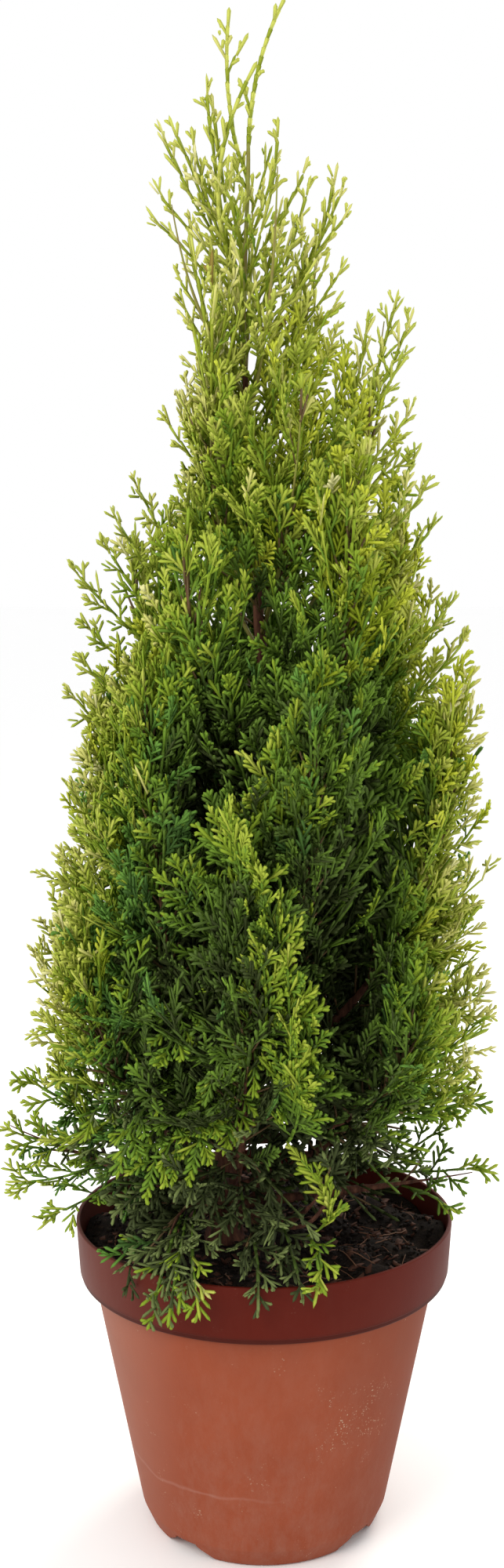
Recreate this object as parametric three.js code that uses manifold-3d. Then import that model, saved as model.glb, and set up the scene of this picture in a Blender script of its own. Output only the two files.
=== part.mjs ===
// A young potted thuja, millimetres, +Z up. The origin is the middle of the pot's flat underside, and -Y is its
// front. Pot, soil, trunk and boughs are plain solids. Each mass of foliage is a stem with a small core, and the
// flat sprays of scale leaves stand out of them. A spray's teeth stand for its side shoots.
import * as THREE from "three";
import { mergeVertices } from "three/addons/utils/BufferGeometryUtils.js";
import Module from "manifold-3d";

const wasm = await Module();
wasm.setup();

// ---- Driving dimensions ----
const POT_HEIGHT = 190;
const RIM_RADIUS = 115;
const WALL = 2.4;
const COLLAR_HEIGHT = 34; // the raised band round the mouth
const COLLAR_DRAFT = 2; // how much narrower the band is at its lower edge
const COLLAR_ROUND = 3;
const FOOT_RADIUS = 75.4; // where the sloping side would meet the ground
const SHOULDER_RADIUS = 104.6; // where the side meets the band
const FOOT_ROUND = 11;
const FOOT_SET = 1.2; // how far the rounding's centre is set out, so that it runs into the sloping side
const EDGE_STEP = 0.7; // the width and height of the bevel at the rim's edges
const NOTCHES = 4; // arched drain notches in the foot
const NOTCH_TURN = 51; // degrees, the first notch
const NOTCH_HEIGHT = 8.5;
const NOTCH_WIDTH = 34;
const NOTCH_DEPTH = 26;
const DRAIN_RADIUS = 4;
const DRAIN_INSET = 17; // how far the drain holes' centres stand in from the foot's radius
const SOIL_LEVEL = 176;
const SOIL_ROUGHNESS = 3.5;
const SOIL_RINGS = [96, 68, 34]; // radii at which the soil's top may rise and fall
const SEAT_RADIUS = 15; // the flat seat in the soil for the trunk's foot
const SEAT_DEPTH = 8;
const ROOM = 0.3; // the gap between pieces that touch
const LEAST_GAP = 0.25; // what is left of that gap between facets
const SLIVER = 0.03; // details finer than this are smoothed away
const ROUND_STEPS = 32;

const TRUNK_X = [[176, -24], [226, -23], [276, -8], [340, 5], [450, 3], [600, -5], [720, -12], [822, -9]];
const TRUNK_Y = [[176, -6], [260, -2], [420, 3], [600, -3], [822, 0]];
const FORK_HEIGHT = 822; // the trunk splits into two leaders here
const TRUNK_RADIUS = 8;
const FORK_RADIUS = 1.9;
const ROOT_FLARE = 4.5;
const FLARE_FADE = 11;

// How far the foliage reaches from the pot's axis, to the left (-X) and to the right (+X), by height.
const REACH_LEFT = [[150, 132], [190, 143], [238, 166], [262, 150], [350, 148], [420, 136], [500, 123],
  [560, 105], [597, 110], [650, 77], [700, 50], [740, 52], [770, 68], [800, 68], [838, 62], [860, 38], [900, 24]];
const REACH_RIGHT = [[150, 122], [205, 138], [232, 129], [295, 144], [385, 130], [480, 142], [535, 125],
  [600, 109], [660, 96], [737, 86], [756, 50], [800, 50], [840, 30], [860, 12], [900, 13]];

const TWIG_ROOT = 3.5; // how deep a spray's root is sunk
const CLEAR = 1.2; // the gap that a spray keeps to another mass or a limb, where it is measured by points
const SHARED = 9; // how far a spray may stand into the space between two masses
const ROOTED = 0.5; // cubic millimetres of a spray that must lie inside its core
const GOLDEN = 0.6180339887;
const FAN = 250; // degrees that a plume's sprays spread over, about the outward side
const OPEN_FOOT = 56; // degrees between the lowest spray and the stem
const OPEN_TOP = 20;
const CORE_SHARE = 0.56; // how much of its plume's share a core may fill
const CORE_MOST = 0.4; // the core's largest radius, as a part of the plume's half width
const CORE_LOW = 0.26; // the same for the flat low plumes
const CORE_INSET = 14; // how deep a core stays inside the crown's outline
const CORE_FROM = 0.12;
const CORE_TO = 0.93;
const CORE_SIDES = 6;
const CORE_RINGS = 5;

// ---- Materials ----
const surface = (color, roughness) => new THREE.MeshStandardMaterial({ color, roughness, metalness: 0 });
const potPlastic = surface(0xa4543a, 0.62);
const pottingSoil = surface(0x2a211c, 0.95);
const bark = surface(0x6b4630, 0.85);
const oldFoliage = surface(0x3f5a22, 0.6);
const freshFoliage = surface(0x7f9536, 0.6);
const shootFoliage = surface(0xb7b45c, 0.6);

// ---- Small tools ----
const lerp = THREE.MathUtils.lerp;
const radians = THREE.MathUtils.degToRad;
const vector = (x, y, z) => new THREE.Vector3(x, y, z);
const Z_AXIS = vector(0, 0, 1);

/** A value read off a few [height, value] pairs, eased between them. */
function eased(pairs, height) {
  if (height <= pairs[0][0]) return pairs[0][1];
  for (let i = 1; i < pairs.length; i++) {
    const [from, a] = pairs[i - 1];
    const [to, b] = pairs[i];
    if (height <= to) return lerp(a, b, THREE.MathUtils.smoothstep(height, from, to));
  }
  return pairs[pairs.length - 1][1];
}

/** A seeded random source, so that the plant grows the same way each time. */
function randomSource(seed) {
  let state = seed >>> 0;
  return () => {
    state = (state + 0x6d2b79f5) >>> 0;
    let mixed = Math.imul(state ^ (state >>> 15), state | 1);
    mixed ^= mixed + Math.imul(mixed ^ (mixed >>> 7), mixed | 61);
    return ((mixed ^ (mixed >>> 14)) >>> 0) / 4294967296;
  };
}

/** A closed geometry as a solid that can be joined and cut. */
function solidOf(geometry) {
  const bare = new THREE.BufferGeometry().setAttribute("position", geometry.getAttribute("position").clone());
  bare.setIndex(geometry.index);
  const merged = mergeVertices(bare, 1e-3);
  const corners = [];
  const index = merged.index.array;
  for (let i = 0; i < index.length; i += 3) {
    const [a, b, c] = [index[i], index[i + 1], index[i + 2]];
    if (a !== b && b !== c && a !== c) corners.push(a, b, c);
  }
  return new wasm.Manifold(new wasm.Mesh({
    numProp: 3,
    vertProperties: new Float32Array(merged.getAttribute("position").array),
    triVerts: new Uint32Array(corners),
  }));
}

/** The largest closed shell of a solid: loose scraps and sealed hollows are left behind. */
function mainBody(solid) {
  return solid.decompose().reduce((best, body) => (body.volume() > best.volume() ? body : best));
}

function geometryOf(solid) {
  const made = solid.getMesh();
  const geometry = new THREE.BufferGeometry();
  geometry.setAttribute("position", new THREE.BufferAttribute(new Float32Array(made.vertProperties), 3));
  geometry.setIndex(new THREE.BufferAttribute(new Uint32Array(made.triVerts), 1));
  return geometry;
}

/** One closed body without the slivers that a union leaves: its corners stay apart once they are rounded. */
function tidied(solid) {
  let body = mainBody(solid.simplify(SLIVER));
  for (let pass = 0; pass < 2; pass++) body = mainBody(solidOf(geometryOf(body)).simplify(SLIVER));
  return body;
}

function meshOf(name, solid, material) {
  const geometry = geometryOf(tidied(solid));
  geometry.computeVertexNormals();
  const mesh = new THREE.Mesh(geometry, material);
  mesh.name = name;
  return mesh;
}

/** A closed profile of [radius, height] pairs turned about the upright axis. */
function latheOf(profile, steps) {
  const outline = profile.map(([r, z]) => new THREE.Vector2(r, z));
  return new THREE.LatheGeometry(outline, steps).rotateX(Math.PI / 2);
}

function turned(profile) {
  return solidOf(latheOf(profile, ROUND_STEPS));
}

/** An upright round peg on a centre, from one height to another. */
function peg(centre, radius, from, to) {
  const blank = new THREE.CylinderGeometry(radius, radius, to - from, 16).rotateX(Math.PI / 2);
  return solidOf(blank.translate(centre.x, centre.y, (from + to) / 2));
}

/** Points of a rounded corner, as [radius, height] pairs. */
function corner(centreRadius, centreHeight, radius, fromDegrees, toDegrees, steps) {
  return Array.from({ length: steps + 1 }, (_, i) => {
    const angle = radians(lerp(fromDegrees, toDegrees, i / steps));
    return [centreRadius + radius * Math.cos(angle), centreHeight + radius * Math.sin(angle)];
  });
}

// ---- The pot ----
const collarFoot = POT_HEIGHT - COLLAR_HEIGHT;
const collarFootRadius = RIM_RADIUS - COLLAR_DRAFT;

function potProfile() {
  const outside = [
    [0, 0],
    ...corner(FOOT_RADIUS - FOOT_ROUND + FOOT_SET, FOOT_ROUND, FOOT_ROUND, -90, -11, 4),
    [SHOULDER_RADIUS, collarFoot],
    ...corner(collarFootRadius - COLLAR_ROUND, collarFoot + COLLAR_ROUND, COLLAR_ROUND, -90, 0, 2),
    [RIM_RADIUS, POT_HEIGHT - EDGE_STEP],
    [RIM_RADIUS - EDGE_STEP, POT_HEIGHT],
  ];
  const inside = [
    [RIM_RADIUS - WALL, POT_HEIGHT - EDGE_STEP],
    [collarFootRadius - WALL, collarFoot + WALL],
    [SHOULDER_RADIUS - WALL, collarFoot + WALL],
    [FOOT_RADIUS - WALL - 1, FOOT_ROUND],
    [FOOT_RADIUS - FOOT_ROUND, WALL],
    [0, WALL],
  ];
  return [...outside, ...inside];
}

/** One arched channel in the foot, open to the outside; grow makes the skin over it and the soil's gap. */
function notchTool(index, grow) {
  const below = 5;
  const beyond = 6;
  const half = NOTCH_WIDTH / 2 + grow;
  const top = NOTCH_HEIGHT + grow;
  const arch = new THREE.Shape();
  arch.moveTo(-half, -below);
  arch.lineTo(-half, 0);
  arch.bezierCurveTo(-half * 0.62, 0, -half * 0.6, top, -half * 0.22, top);
  arch.lineTo(half * 0.22, top);
  arch.bezierCurveTo(half * 0.6, top, half * 0.62, 0, half, 0);
  arch.lineTo(half, -below);
  const depth = NOTCH_DEPTH + grow + beyond;
  const channel = new THREE.ExtrudeGeometry(arch, { depth, bevelEnabled: false, curveSegments: 2 });
  channel.rotateX(Math.PI / 2).rotateZ(Math.PI / 2).translate(FOOT_RADIUS - NOTCH_DEPTH - grow, 0, 0);
  const turn = radians(NOTCH_TURN + (360 / NOTCHES) * index) - Math.PI / 2;
  return solidOf(channel.rotateZ(turn));
}

function drainTool(index) {
  const bore = new THREE.CylinderGeometry(DRAIN_RADIUS, DRAIN_RADIUS, 30, 8).rotateX(Math.PI / 2);
  bore.translate(FOOT_RADIUS - DRAIN_INSET, 0, 0);
  return solidOf(bore.rotateZ(radians(NOTCH_TURN + (360 / NOTCHES) * index) - Math.PI / 2));
}

function buildPot() {
  const shell = turned(potProfile());
  const inward = turned([[0, 0.1], [FOOT_RADIUS - 4, 0.1], [FOOT_RADIUS, 30], [0, 30]]);
  let pot = shell;
  for (let i = 0; i < NOTCHES; i++) {
    pot = pot.add(notchTool(i, WALL).intersect(inward));
    pot = pot.subtract(notchTool(i, 0)).subtract(drainTool(i));
  }
  return mainBody(pot);
}

// ---- The soil ----
/** Height of the soil at a place, with low lumps that fade out round the trunk's foot. */
function soilHeight(x, y) {
  const foot = trunkCentre(SOIL_LEVEL);
  const lumps = Math.sin(x * 0.061 + 1.3) * Math.cos(y * 0.073 - 0.4) + 0.6 * Math.sin(x * 0.13 + y * 0.11);
  const fade = THREE.MathUtils.smoothstep(Math.hypot(x - foot.x, y - foot.y), 14, 46);
  return SOIL_LEVEL + fade * SOIL_ROUGHNESS * lumps;
}

function buildSoil() {
  const top = collarFootRadius - WALL - ROOM;
  const profile = [
    [0, WALL + ROOM],
    [FOOT_RADIUS - FOOT_ROUND - ROOM - 1, WALL + ROOM],
    [FOOT_RADIUS - WALL - ROOM - 1, FOOT_ROUND],
    [SHOULDER_RADIUS - WALL - ROOM, collarFoot + WALL],
    [SHOULDER_RADIUS - WALL - ROOM, collarFoot + WALL + ROOM],
    [top, collarFoot + WALL + ROOM],
    [top + 0.6, SOIL_LEVEL],
    ...SOIL_RINGS.map((r) => [r, SOIL_LEVEL]),
    [0, SOIL_LEVEL],
  ];
  const lathe = latheOf(profile, ROUND_STEPS);
  const place = lathe.getAttribute("position");
  for (let i = 0; i < place.count; i++) {
    if (Math.abs(place.getZ(i) - SOIL_LEVEL) < 0.01) place.setZ(i, soilHeight(place.getX(i), place.getY(i)));
  }
  let soil = solidOf(lathe);
  const foot = trunkCentre(SOIL_LEVEL);
  soil = soil.add(peg(foot, SEAT_RADIUS, SOIL_LEVEL - SEAT_DEPTH, SOIL_LEVEL));
  soil = soil.subtract(peg(foot, SEAT_RADIUS, SOIL_LEVEL, SOIL_LEVEL + SEAT_DEPTH));
  for (let i = 0; i < NOTCHES; i++) soil = soil.subtract(notchTool(i, WALL + ROOM));
  return mainBody(soil);
}

// ---- The trunk ----
function trunkCentre(height) {
  return vector(eased(TRUNK_X, height), eased(TRUNK_Y, height), height);
}

function trunkRadius(height) {
  const up = Math.min((height - SOIL_LEVEL) / (FORK_HEIGHT - SOIL_LEVEL), 1);
  const flare = ROOT_FLARE * Math.exp((SOIL_LEVEL - height) / FLARE_FADE);
  return lerp(TRUNK_RADIUS, FORK_RADIUS, up ** 0.8) + flare;
}

/** A tapering limb: a cylinder bent onto centre(t), with radius(t), for t from 0 to 1. */
function limb(centre, radius, sides, steps, upright = false) {
  const blank = new THREE.CylinderGeometry(1, 1, 1, sides, steps);
  const place = blank.getAttribute("position");
  for (let i = 0; i < place.count; i++) {
    const t = place.getY(i) + 0.5;
    const chord = centre(Math.min(t + 0.02, 1)).sub(centre(Math.max(t - 0.02, 0)));
    const along = upright ? Z_AXIS : chord.normalize();
    const side = vector(0.31, -0.95, 0.05).cross(along).normalize();
    const other = along.clone().cross(side);
    const point = centre(t).addScaledVector(side, place.getX(i) * radius(t));
    point.addScaledVector(other, -place.getZ(i) * radius(t));
    place.setXYZ(i, point.x, point.y, point.z);
  }
  return solidOf(blank);
}

function trunkSolid(grow) {
  const foot = SOIL_LEVEL + ROOM;
  // Steps crowd towards the foot, where the root flare needs them.
  const height = (t) => lerp(foot, FORK_HEIGHT + grow, t ** 1.5);
  return limb((t) => trunkCentre(height(t)), (t) => trunkRadius(height(t)) + grow, 8, 18, true);
}

const trunkRoom = trunkSolid(ROOM);

// ---- The plan of the crown ----
/** How far foliage may reach from the pot's axis at a height, towards a bearing in degrees from +X. */
function reachAt(height, bearing) {
  const rightward = (1 + Math.cos(radians(bearing))) / 2;
  return lerp(eased(REACH_LEFT, height), eased(REACH_RIGHT, height), rightward);
}

// Tiers of upright plumes, from the foot to the top. root and rise place the forks on the trunk, tip and swing
// the plumes' tops, inset how far a top stands in from the crown's outline, lift how steeply the limb leaves the
// trunk, bare the share of the limb that is a bough, and spread the half width of the plume.
const TIERS = [
  {
    name: "lower", count: 7, turn: 8, root: 206, rise: 8, tip: 344, swing: 26, phase: 1,
    inset: 32, lift: 8, bare: 0.34, spread: 50, sprays: 9,
  },
  {
    name: "middle", count: 6, turn: -14, root: 274, rise: 9, tip: 486, swing: 26, phase: 2,
    inset: 32, lift: 30, bare: 0.2, spread: 50, sprays: 11,
  },
  {
    name: "upper", count: 5, turn: 22, root: 396, rise: 9, tip: 600, swing: 20, phase: 3,
    inset: 26, lift: 40, bare: 0, spread: 48, sprays: 11,
  },
  {
    name: "shoulder", count: 5, turn: 0, root: 524, rise: 9, tip: 704, swing: 26, phase: 0,
    inset: 16, lift: 48, bare: 0, spread: 38, sprays: 9,
  },
  {
    name: "top", count: 4, turn: 10, root: 656, rise: 12, tip: 802, swing: 14, phase: 4,
    inset: 14, lift: 56, bare: 0, spread: 34, sprays: 8,
  },
];

// Low boughs that lie out over the soil and the rim. root is the fork's height on the trunk, crest the height
// of the limb over the rim, out and tip the end's distance from the axis and its height, and bare the share of
// the limb that is a bough.
const SKIRT = [
  { name: "low_left", bearing: 180, root: 192, crest: 222, out: 158, tip: 246, bare: 0.42 },
  { name: "low_front_left", bearing: 240, root: 186, crest: 224, out: 110, tip: 205, bare: 0.4 },
  { name: "low_front", bearing: 268, root: 198, crest: 218, out: 102, tip: 203, bare: 0.4 },
  { name: "low_front_right", bearing: 291, root: 196, crest: 192, out: 97, tip: 244, bare: 0.6 },
  { name: "low_right", bearing: 352, root: 196, crest: 206, out: 130, tip: 222, bare: 0.45 },
  { name: "low_back_right", bearing: 40, root: 190, crest: 212, out: 124, tip: 226, bare: 0.42 },
  { name: "low_back_left", bearing: 128, root: 194, crest: 212, out: 130, tip: 214, bare: 0.42 },
];

/** One upright plume of a tier: its limb runs from the trunk to its top, bare at first and leafy after. */
function tierPlume(tier, level, i) {
  const bearing = tier.turn + (360 / tier.count) * i;
  const tip = tier.tip + tier.swing * Math.cos(i * 2.4 + tier.phase);
  const root = tier.root + tier.rise * ((i * 3) % tier.count);
  const away = vector(Math.cos(radians(bearing)), Math.sin(radians(bearing)), 0);
  const start = trunkCentre(root);
  const end = away.clone().multiplyScalar(reachAt(tip, bearing) - tier.inset).setZ(tip);
  const span = start.distanceTo(end);
  const outward = end.clone().sub(start).setZ(0).normalize();
  const leaving = outward.multiplyScalar(Math.cos(radians(tier.lift))).setZ(Math.sin(radians(tier.lift)));
  const arriving = away.clone().multiplyScalar(0.16).setZ(1).normalize();
  const curve = new THREE.CubicBezierCurve3(
    start.clone().addScaledVector(leaving, trunkRadius(root) * 0.6),
    start.clone().addScaledVector(leaving, span * 0.45),
    end.clone().addScaledVector(arriving, -span * 0.3),
    end,
  );
  return {
    name: `${tier.name}_${i + 1}`, bearing, curve, bare: tier.bare, spread: tier.spread, sprays: tier.sprays,
    material: level < 2 ? oldFoliage : freshFoliage, seed: 200 + 20 * level + i,
    thick: lerp(2, 3.4, span / 260), low: false,
  };
}

function skirtPlume({ name, bearing, root, crest, out, tip, bare }, seed) {
  const away = vector(Math.cos(radians(bearing)), Math.sin(radians(bearing)), 0);
  const start = trunkCentre(root);
  const end = away.clone().multiplyScalar(out).setZ(tip);
  const flat = end.clone().sub(start).setZ(0);
  const curve = new THREE.CubicBezierCurve3(
    start.clone(),
    start.clone().addScaledVector(flat, 0.3).setZ(lerp(root, crest, 0.7)),
    start.clone().addScaledVector(flat, 0.78).setZ(crest + 8),
    end,
  );
  const sizes = { spread: 38, sprays: 7, thick: 2.8 };
  return { name, bearing, curve, bare, ...sizes, material: oldFoliage, seed, low: true };
}

function planCrown() {
  const plumes = SKIRT.map((row, i) => skirtPlume(row, 100 + i));
  TIERS.forEach((tier, level) => {
    for (let i = 0; i < tier.count; i++) plumes.push(tierPlume(tier, level, i));
  });
  return plumes;
}

/** Thin green shoots: the two leaders that the trunk forks into, and one that crosses in front of them. */
function planShoots() {
  const shoot = (name, bearing, points, sprays, seed) => ({
    name, bearing, curve: new THREE.CubicBezierCurve3(...points), bare: 0, spread: 17, sprays,
    material: shootFoliage, seed, thick: 1.5, low: false, shoot: true,
  });
  const fork = trunkCentre(FORK_HEIGHT).setZ(FORK_HEIGHT + ROOM);
  const right = [fork, vector(-7.5, -1, 848), vector(-4, -2, 872), vector(11, -3, 900)];
  const left = [trunkCentre(806), vector(-17, 2, 818), vector(-24, 3, 850), vector(-20, 2, 896)];
  const crossing = [trunkCentre(744), vector(-30, -9, 768), vector(-34, -16, 812), vector(-5, -14, 862)];
  return [
    shoot("leader_right", 0, right, 4, 401),
    shoot("leader_left", 180, left, 5, 402),
    shoot("crossing_shoot", 230, crossing, 5, 403),
  ];
}

// ---- Who owns which part of the crown ----
const SAMPLES = 14;

/** Points along each plume's leafy part, by which the crown is shared out. */
function layOut(plumes) {
  for (const p of plumes) {
    const row = (from, to) => Array.from({ length: SAMPLES }, (_, i) => (
      p.curve.getPoint(lerp(from, to, i / (SAMPLES - 1)))
    ));
    p.axis = row(p.bare + 0.03, 1);
    p.limbAxis = row(0, Math.max(p.bare, 0.02));
    p.bounds = new THREE.Box3().setFromPoints(p.axis).expandByScalar(p.spread * 2.4);
  }
}

function nearest(points, place) {
  let best = Infinity;
  for (const point of points) best = Math.min(best, point.distanceToSquared(place));
  return Math.sqrt(best);
}

/** True if a place lies in this plume's own share of the crown, this far inside it. */
function ownsPlace(plumes, own, place, margin) {
  const mine = nearest(own.axis, place);
  for (const other of plumes) {
    if (other === own || !other.bounds.containsPoint(place)) continue;
    if (nearest(other.axis, place) * (own.spread / other.spread) - mine < margin) return false;
  }
  return true;
}

/** True if a place is clear of the trunk, of every bough, of the pot and of the soil. */
function clearOfWood(plumes, place) {
  if (place.z < FORK_HEIGHT + 3) {
    const core = trunkCentre(place.z);
    if (Math.hypot(place.x - core.x, place.y - core.y) < trunkRadius(place.z) + CLEAR) return false;
  }
  for (const p of plumes) {
    if (p.bare && nearest(p.limbAxis, place) < p.thick + CLEAR + 2.2) return false;
  }
  const radius = Math.hypot(place.x, place.y);
  if (place.z > POT_HEIGHT + 1.5 || radius > RIM_RADIUS + 1.5) return true;
  return radius < collarFootRadius - WALL - 3 && place.z > soilHeight(place.x, place.y) + 2.5;
}

// ---- Foliage ----
/** The outline of a spray of length 1 along x, with alternate side teeth, and the points of its middle rib. */
function sprayOutline(teeth) {
  const right = [[0, -0.03]];
  const left = [[0, 0.03]];
  for (let k = 0; k < teeth; k++) {
    const down = teeth === 1 ? 0.5 : k / (teeth - 1);
    const at = lerp(0.1, 0.54, down);
    const long = lerp(0.44, 0.28, down);
    const side = k % 2 ? left : right;
    const sign = k % 2 ? 1 : -1;
    side.push([at + long * 0.8, sign * long * 0.84]);
    side.push([at + 0.24, sign * 0.06]);
  }
  return { edge: [...right, [1, 0], ...left.reverse()], rib: [[0.2, 0], [0.66, 0]] };
}

const SPRAY = sprayOutline(3);
const SHOOT_SPRAY = sprayOutline(1);

/** Places on a spray that are tested before it is made. */
function sprayPlaces(frame, length) {
  const places = [];
  const put = (x, y) => {
    const along = frame.root.clone().addScaledVector(frame.along, x * length);
    places.push(along.addScaledVector(frame.across, y * length));
  };
  for (const [x, y] of frame.outline.edge) {
    const from = Math.max(0.1, x - Math.abs(y) * 1.1);
    for (let k = 1; k <= 4; k++) put(lerp(from, x, k / 4), (y * k) / 4);
  }
  for (let k = 2; k <= 10; k++) put(k / 10, 0);
  return places;
}

/** A flat spray: a lens that is thickest along its rib and runs out to nothing at its toothed edge. */
function spraySolid(frame, length) {
  const { edge, rib } = frame.outline;
  const half = Math.max(0.8, length * 0.018);
  const rows = [
    ...edge.map(([x, y]) => [x, y, 0]),
    ...rib.map(([x]) => [x, 0, half * (1.15 - x * 0.5)]),
    ...rib.map(([x]) => [x, 0, -half * (1.15 - x * 0.5)]),
  ];
  const face = frame.along.clone().cross(frame.across);
  const points = rows.map(([x, y, z]) => {
    const point = frame.root.clone().addScaledVector(frame.along, x * length - TWIG_ROOT);
    return point.addScaledVector(frame.across, y * length).addScaledVector(face, z);
  });
  const ribOf = edge.map(([x]) => rib.reduce((best, [at], k) => (x > at + 0.12 ? k : best), 0));
  const index = [];
  for (let i = 0; i < edge.length; i++) {
    const next = (i + 1) % edge.length;
    const [a, b] = [ribOf[i], ribOf[next]];
    for (const [offset, flip] of [[edge.length, false], [edge.length + rib.length, true]]) {
      const put = (p, q, r) => (flip ? index.push(p, r, q) : index.push(p, q, r));
      put(i, next, offset + a);
      if (a !== b) put(next, offset + b, offset + a);
    }
  }
  const geometry = new THREE.BufferGeometry();
  geometry.setAttribute("position", new THREE.Float32BufferAttribute(points.flatMap((p) => p.toArray()), 3));
  geometry.setIndex(index);
  return solidOf(geometry);
}

/** Two directions square to a plume's stem at s: outward, away from the pot's axis, and sideways. */
function squareTo(p, s) {
  const along = p.curve.getTangent(s);
  const away = vector(Math.cos(radians(p.bearing)), Math.sin(radians(p.bearing)), 0);
  const outward = away.addScaledVector(along, -away.dot(along)).normalize();
  return { along, outward, sideways: along.clone().cross(outward) };
}

/** How far a plume's core stands out from its stem at s, towards a direction: most of the plume's share. */
function coreReach(plumes, p, s, aim) {
  const centre = p.curve.getPoint(s);
  const most = p.spread * (p.low ? CORE_LOW : CORE_MOST);
  let reach = 2;
  while (reach < most) {
    const at = centre.clone().addScaledVector(aim, reach / CORE_SHARE);
    const bearing = THREE.MathUtils.radToDeg(Math.atan2(at.y, at.x));
    if (Math.hypot(at.x, at.y) > reachAt(at.z, bearing) - CORE_INSET) break;
    if (!ownsPlace(plumes, p, at, CLEAR) || !clearOfWood(plumes, at)) break;
    reach += 2;
  }
  return reach;
}

/** A plume's core: a spindle round its stem. */
function coreSolid(plumes, p, size) {
  const blank = new THREE.SphereGeometry(1, CORE_SIDES, CORE_RINGS);
  const place = blank.getAttribute("position");
  for (let i = 0; i < place.count; i++) {
    const s = lerp(lerp(p.bare, 1, CORE_FROM), CORE_TO, (place.getY(i) + 1) / 2);
    const flat = Math.hypot(place.getX(i), place.getZ(i));
    const { outward, sideways } = squareTo(p, s);
    const aim = outward.multiplyScalar(place.getX(i)).addScaledVector(sideways, -place.getZ(i)).normalize();
    const out = size * coreReach(plumes, p, s, aim) * Math.sqrt(flat);
    const point = p.curve.getPoint(s).addScaledVector(aim, out);
    if (flat > 1e-6) place.setXYZ(i, point.x, point.y, point.z);
    else place.setXYZ(i, ...p.curve.getPoint(s).toArray());
  }
  return solidOf(blank);
}

/** The frame of one spray, by the rule of growth: sprays turn round the stem by the golden share, upward. */
function sprayFrame(plumes, p, i, random) {
  const share = i / (p.sprays - 1);
  const s = lerp(lerp(p.bare, 1, p.shoot ? 0.3 : 0.16), 0.97, share ** 0.85);
  const { along, outward, sideways } = squareTo(p, s);
  const fan = p.shoot ? 360 : FAN;
  const turn = radians((((i * GOLDEN + 0.31) % 1) - 0.5) * fan);
  const aim = outward.clone().multiplyScalar(Math.cos(turn)).addScaledVector(sideways, Math.sin(turn));
  const open = share === 1 ? 0 : radians(lerp(OPEN_FOOT, OPEN_TOP, share));
  const lean = vector(0, 0, p.low ? -0.1 : 0.16);
  const direction = along.clone().multiplyScalar(Math.cos(open)).addScaledVector(aim, Math.sin(open));
  direction.add(lean).normalize();
  const twist = radians(lerp(-35, 35, random()) + (p.low ? 90 : 0));
  const across = direction.clone().cross(aim).normalize().applyAxisAngle(direction, twist);
  const out = share === 1 || p.shoot ? 0 : 0.8 * coreReach(plumes, p, s, aim);
  const length = p.spread * (p.shoot ? 0.95 : lerp(1.6, 1.25, share)) * lerp(0.9, 1.15, random());
  const root = p.curve.getPoint(s).addScaledVector(aim, out);
  return { root, aim, out, along: direction, across, length, outline: p.shoot ? SHOOT_SPRAY : SPRAY };
}

/** True if a spray of this length stays in its plume's share, inside the crown's outline and off the wood. */
function sprayFits(plumes, p, frame, length) {
  return sprayPlaces(frame, length).every((place) => {
    const bearing = THREE.MathUtils.radToDeg(Math.atan2(place.y, place.x));
    const inside = Math.hypot(place.x, place.y) < reachAt(place.z, bearing) + 1;
    return inside && ownsPlace(plumes, p, place, -SHARED) && clearOfWood(plumes, place);
  });
}

/** Every solid placed so far, with its box, so that each new one is kept clear of the rest. */
const placed = [];

function place(owner, solid) {
  const { min, max } = solid.boundingBox();
  const box = new THREE.Box3(vector(...min), vector(...max));
  placed.push({ owner, solid, box });
}

function isClear(owner, solid) {
  const { min, max } = solid.boundingBox();
  const box = new THREE.Box3(vector(...min), vector(...max)).expandByScalar(CLEAR);
  return placed.every((other) => other.owner === owner || !box.intersectsBox(other.box)
    || solid.minGap(other.solid, CLEAR) >= LEAST_GAP);
}

function stemSolid(p) {
  const gap = p.bare ? (ROOM * 1.2) / p.curve.getLength() : 0;
  const radius = (t) => lerp(p.thick * (p.bare ? 0.8 : 1), 0.8, t);
  return limb((t) => p.curve.getPoint(lerp(p.bare + gap, 1, t)), radius, p.shoot ? 5 : 3, p.shoot ? 7 : 4);
}

/** The stem and the core of a plume, and the room they take. */
function startPlume(plumes, p) {
  p.stem = stemSolid(p).subtract(trunkRoom);
  if (!isClear(p, p.stem)) throw new Error(`the stem of ${p.name} meets a neighbour`);
  place(p, p.stem);
  if (p.shoot) return;
  for (let size = 1; size > 0.3; size *= 0.85) {
    p.core = coreSolid(plumes, p, size);
    if (!isClear(p, p.core)) continue;
    place(p, p.core);
    return;
  }
}

/** Slides a spray in towards the stem until its root is well inside the core. */
function seated(p, frame, length) {
  for (let step = 0; step < 4; step++) {
    const spray = spraySolid(frame, length);
    const isRooted = (piece) => piece.intersect(spray).volume() > ROOTED;
    if (p.shoot || isRooted(p.core) || isRooted(p.stem)) return spray;
    frame.root.addScaledVector(frame.aim, -0.22 * frame.out);
  }
  return null;
}

/** Grows a plume's sprays. One that doesn't fit is turned or shortened, and at last skipped. */
function growSprays(plumes, p) {
  const random = randomSource(p.seed);
  for (let i = 0; i < p.sprays; i++) {
    const frame = sprayFrame(plumes, p, i, random);
    const tries = [1, 0.85, 0.7, 0.55].flatMap((share) => [0, 45, -45, 90].map((turn) => [share, turn]));
    for (const [share, turn] of tries) {
      const across = frame.across.clone().applyAxisAngle(frame.along, radians(turn));
      const trial = { ...frame, root: frame.root.clone(), across };
      if (!sprayFits(plumes, p, trial, frame.length * share)) continue;
      const spray = seated(p, trial, frame.length * share);
      if (!spray || !isClear(p, spray)) continue;
      place(p, spray);
      break;
    }
  }
}

/** The bare bough that carries a plume, cut to stand just clear of the trunk. */
function boughSolid(p) {
  return limb((t) => p.curve.getPoint(t * p.bare), (t) => lerp(p.thick * 1.15, p.thick * 0.8, t), 5, 3);
}

// ---- Assembly ----
const plant = new THREE.Group();

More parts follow.
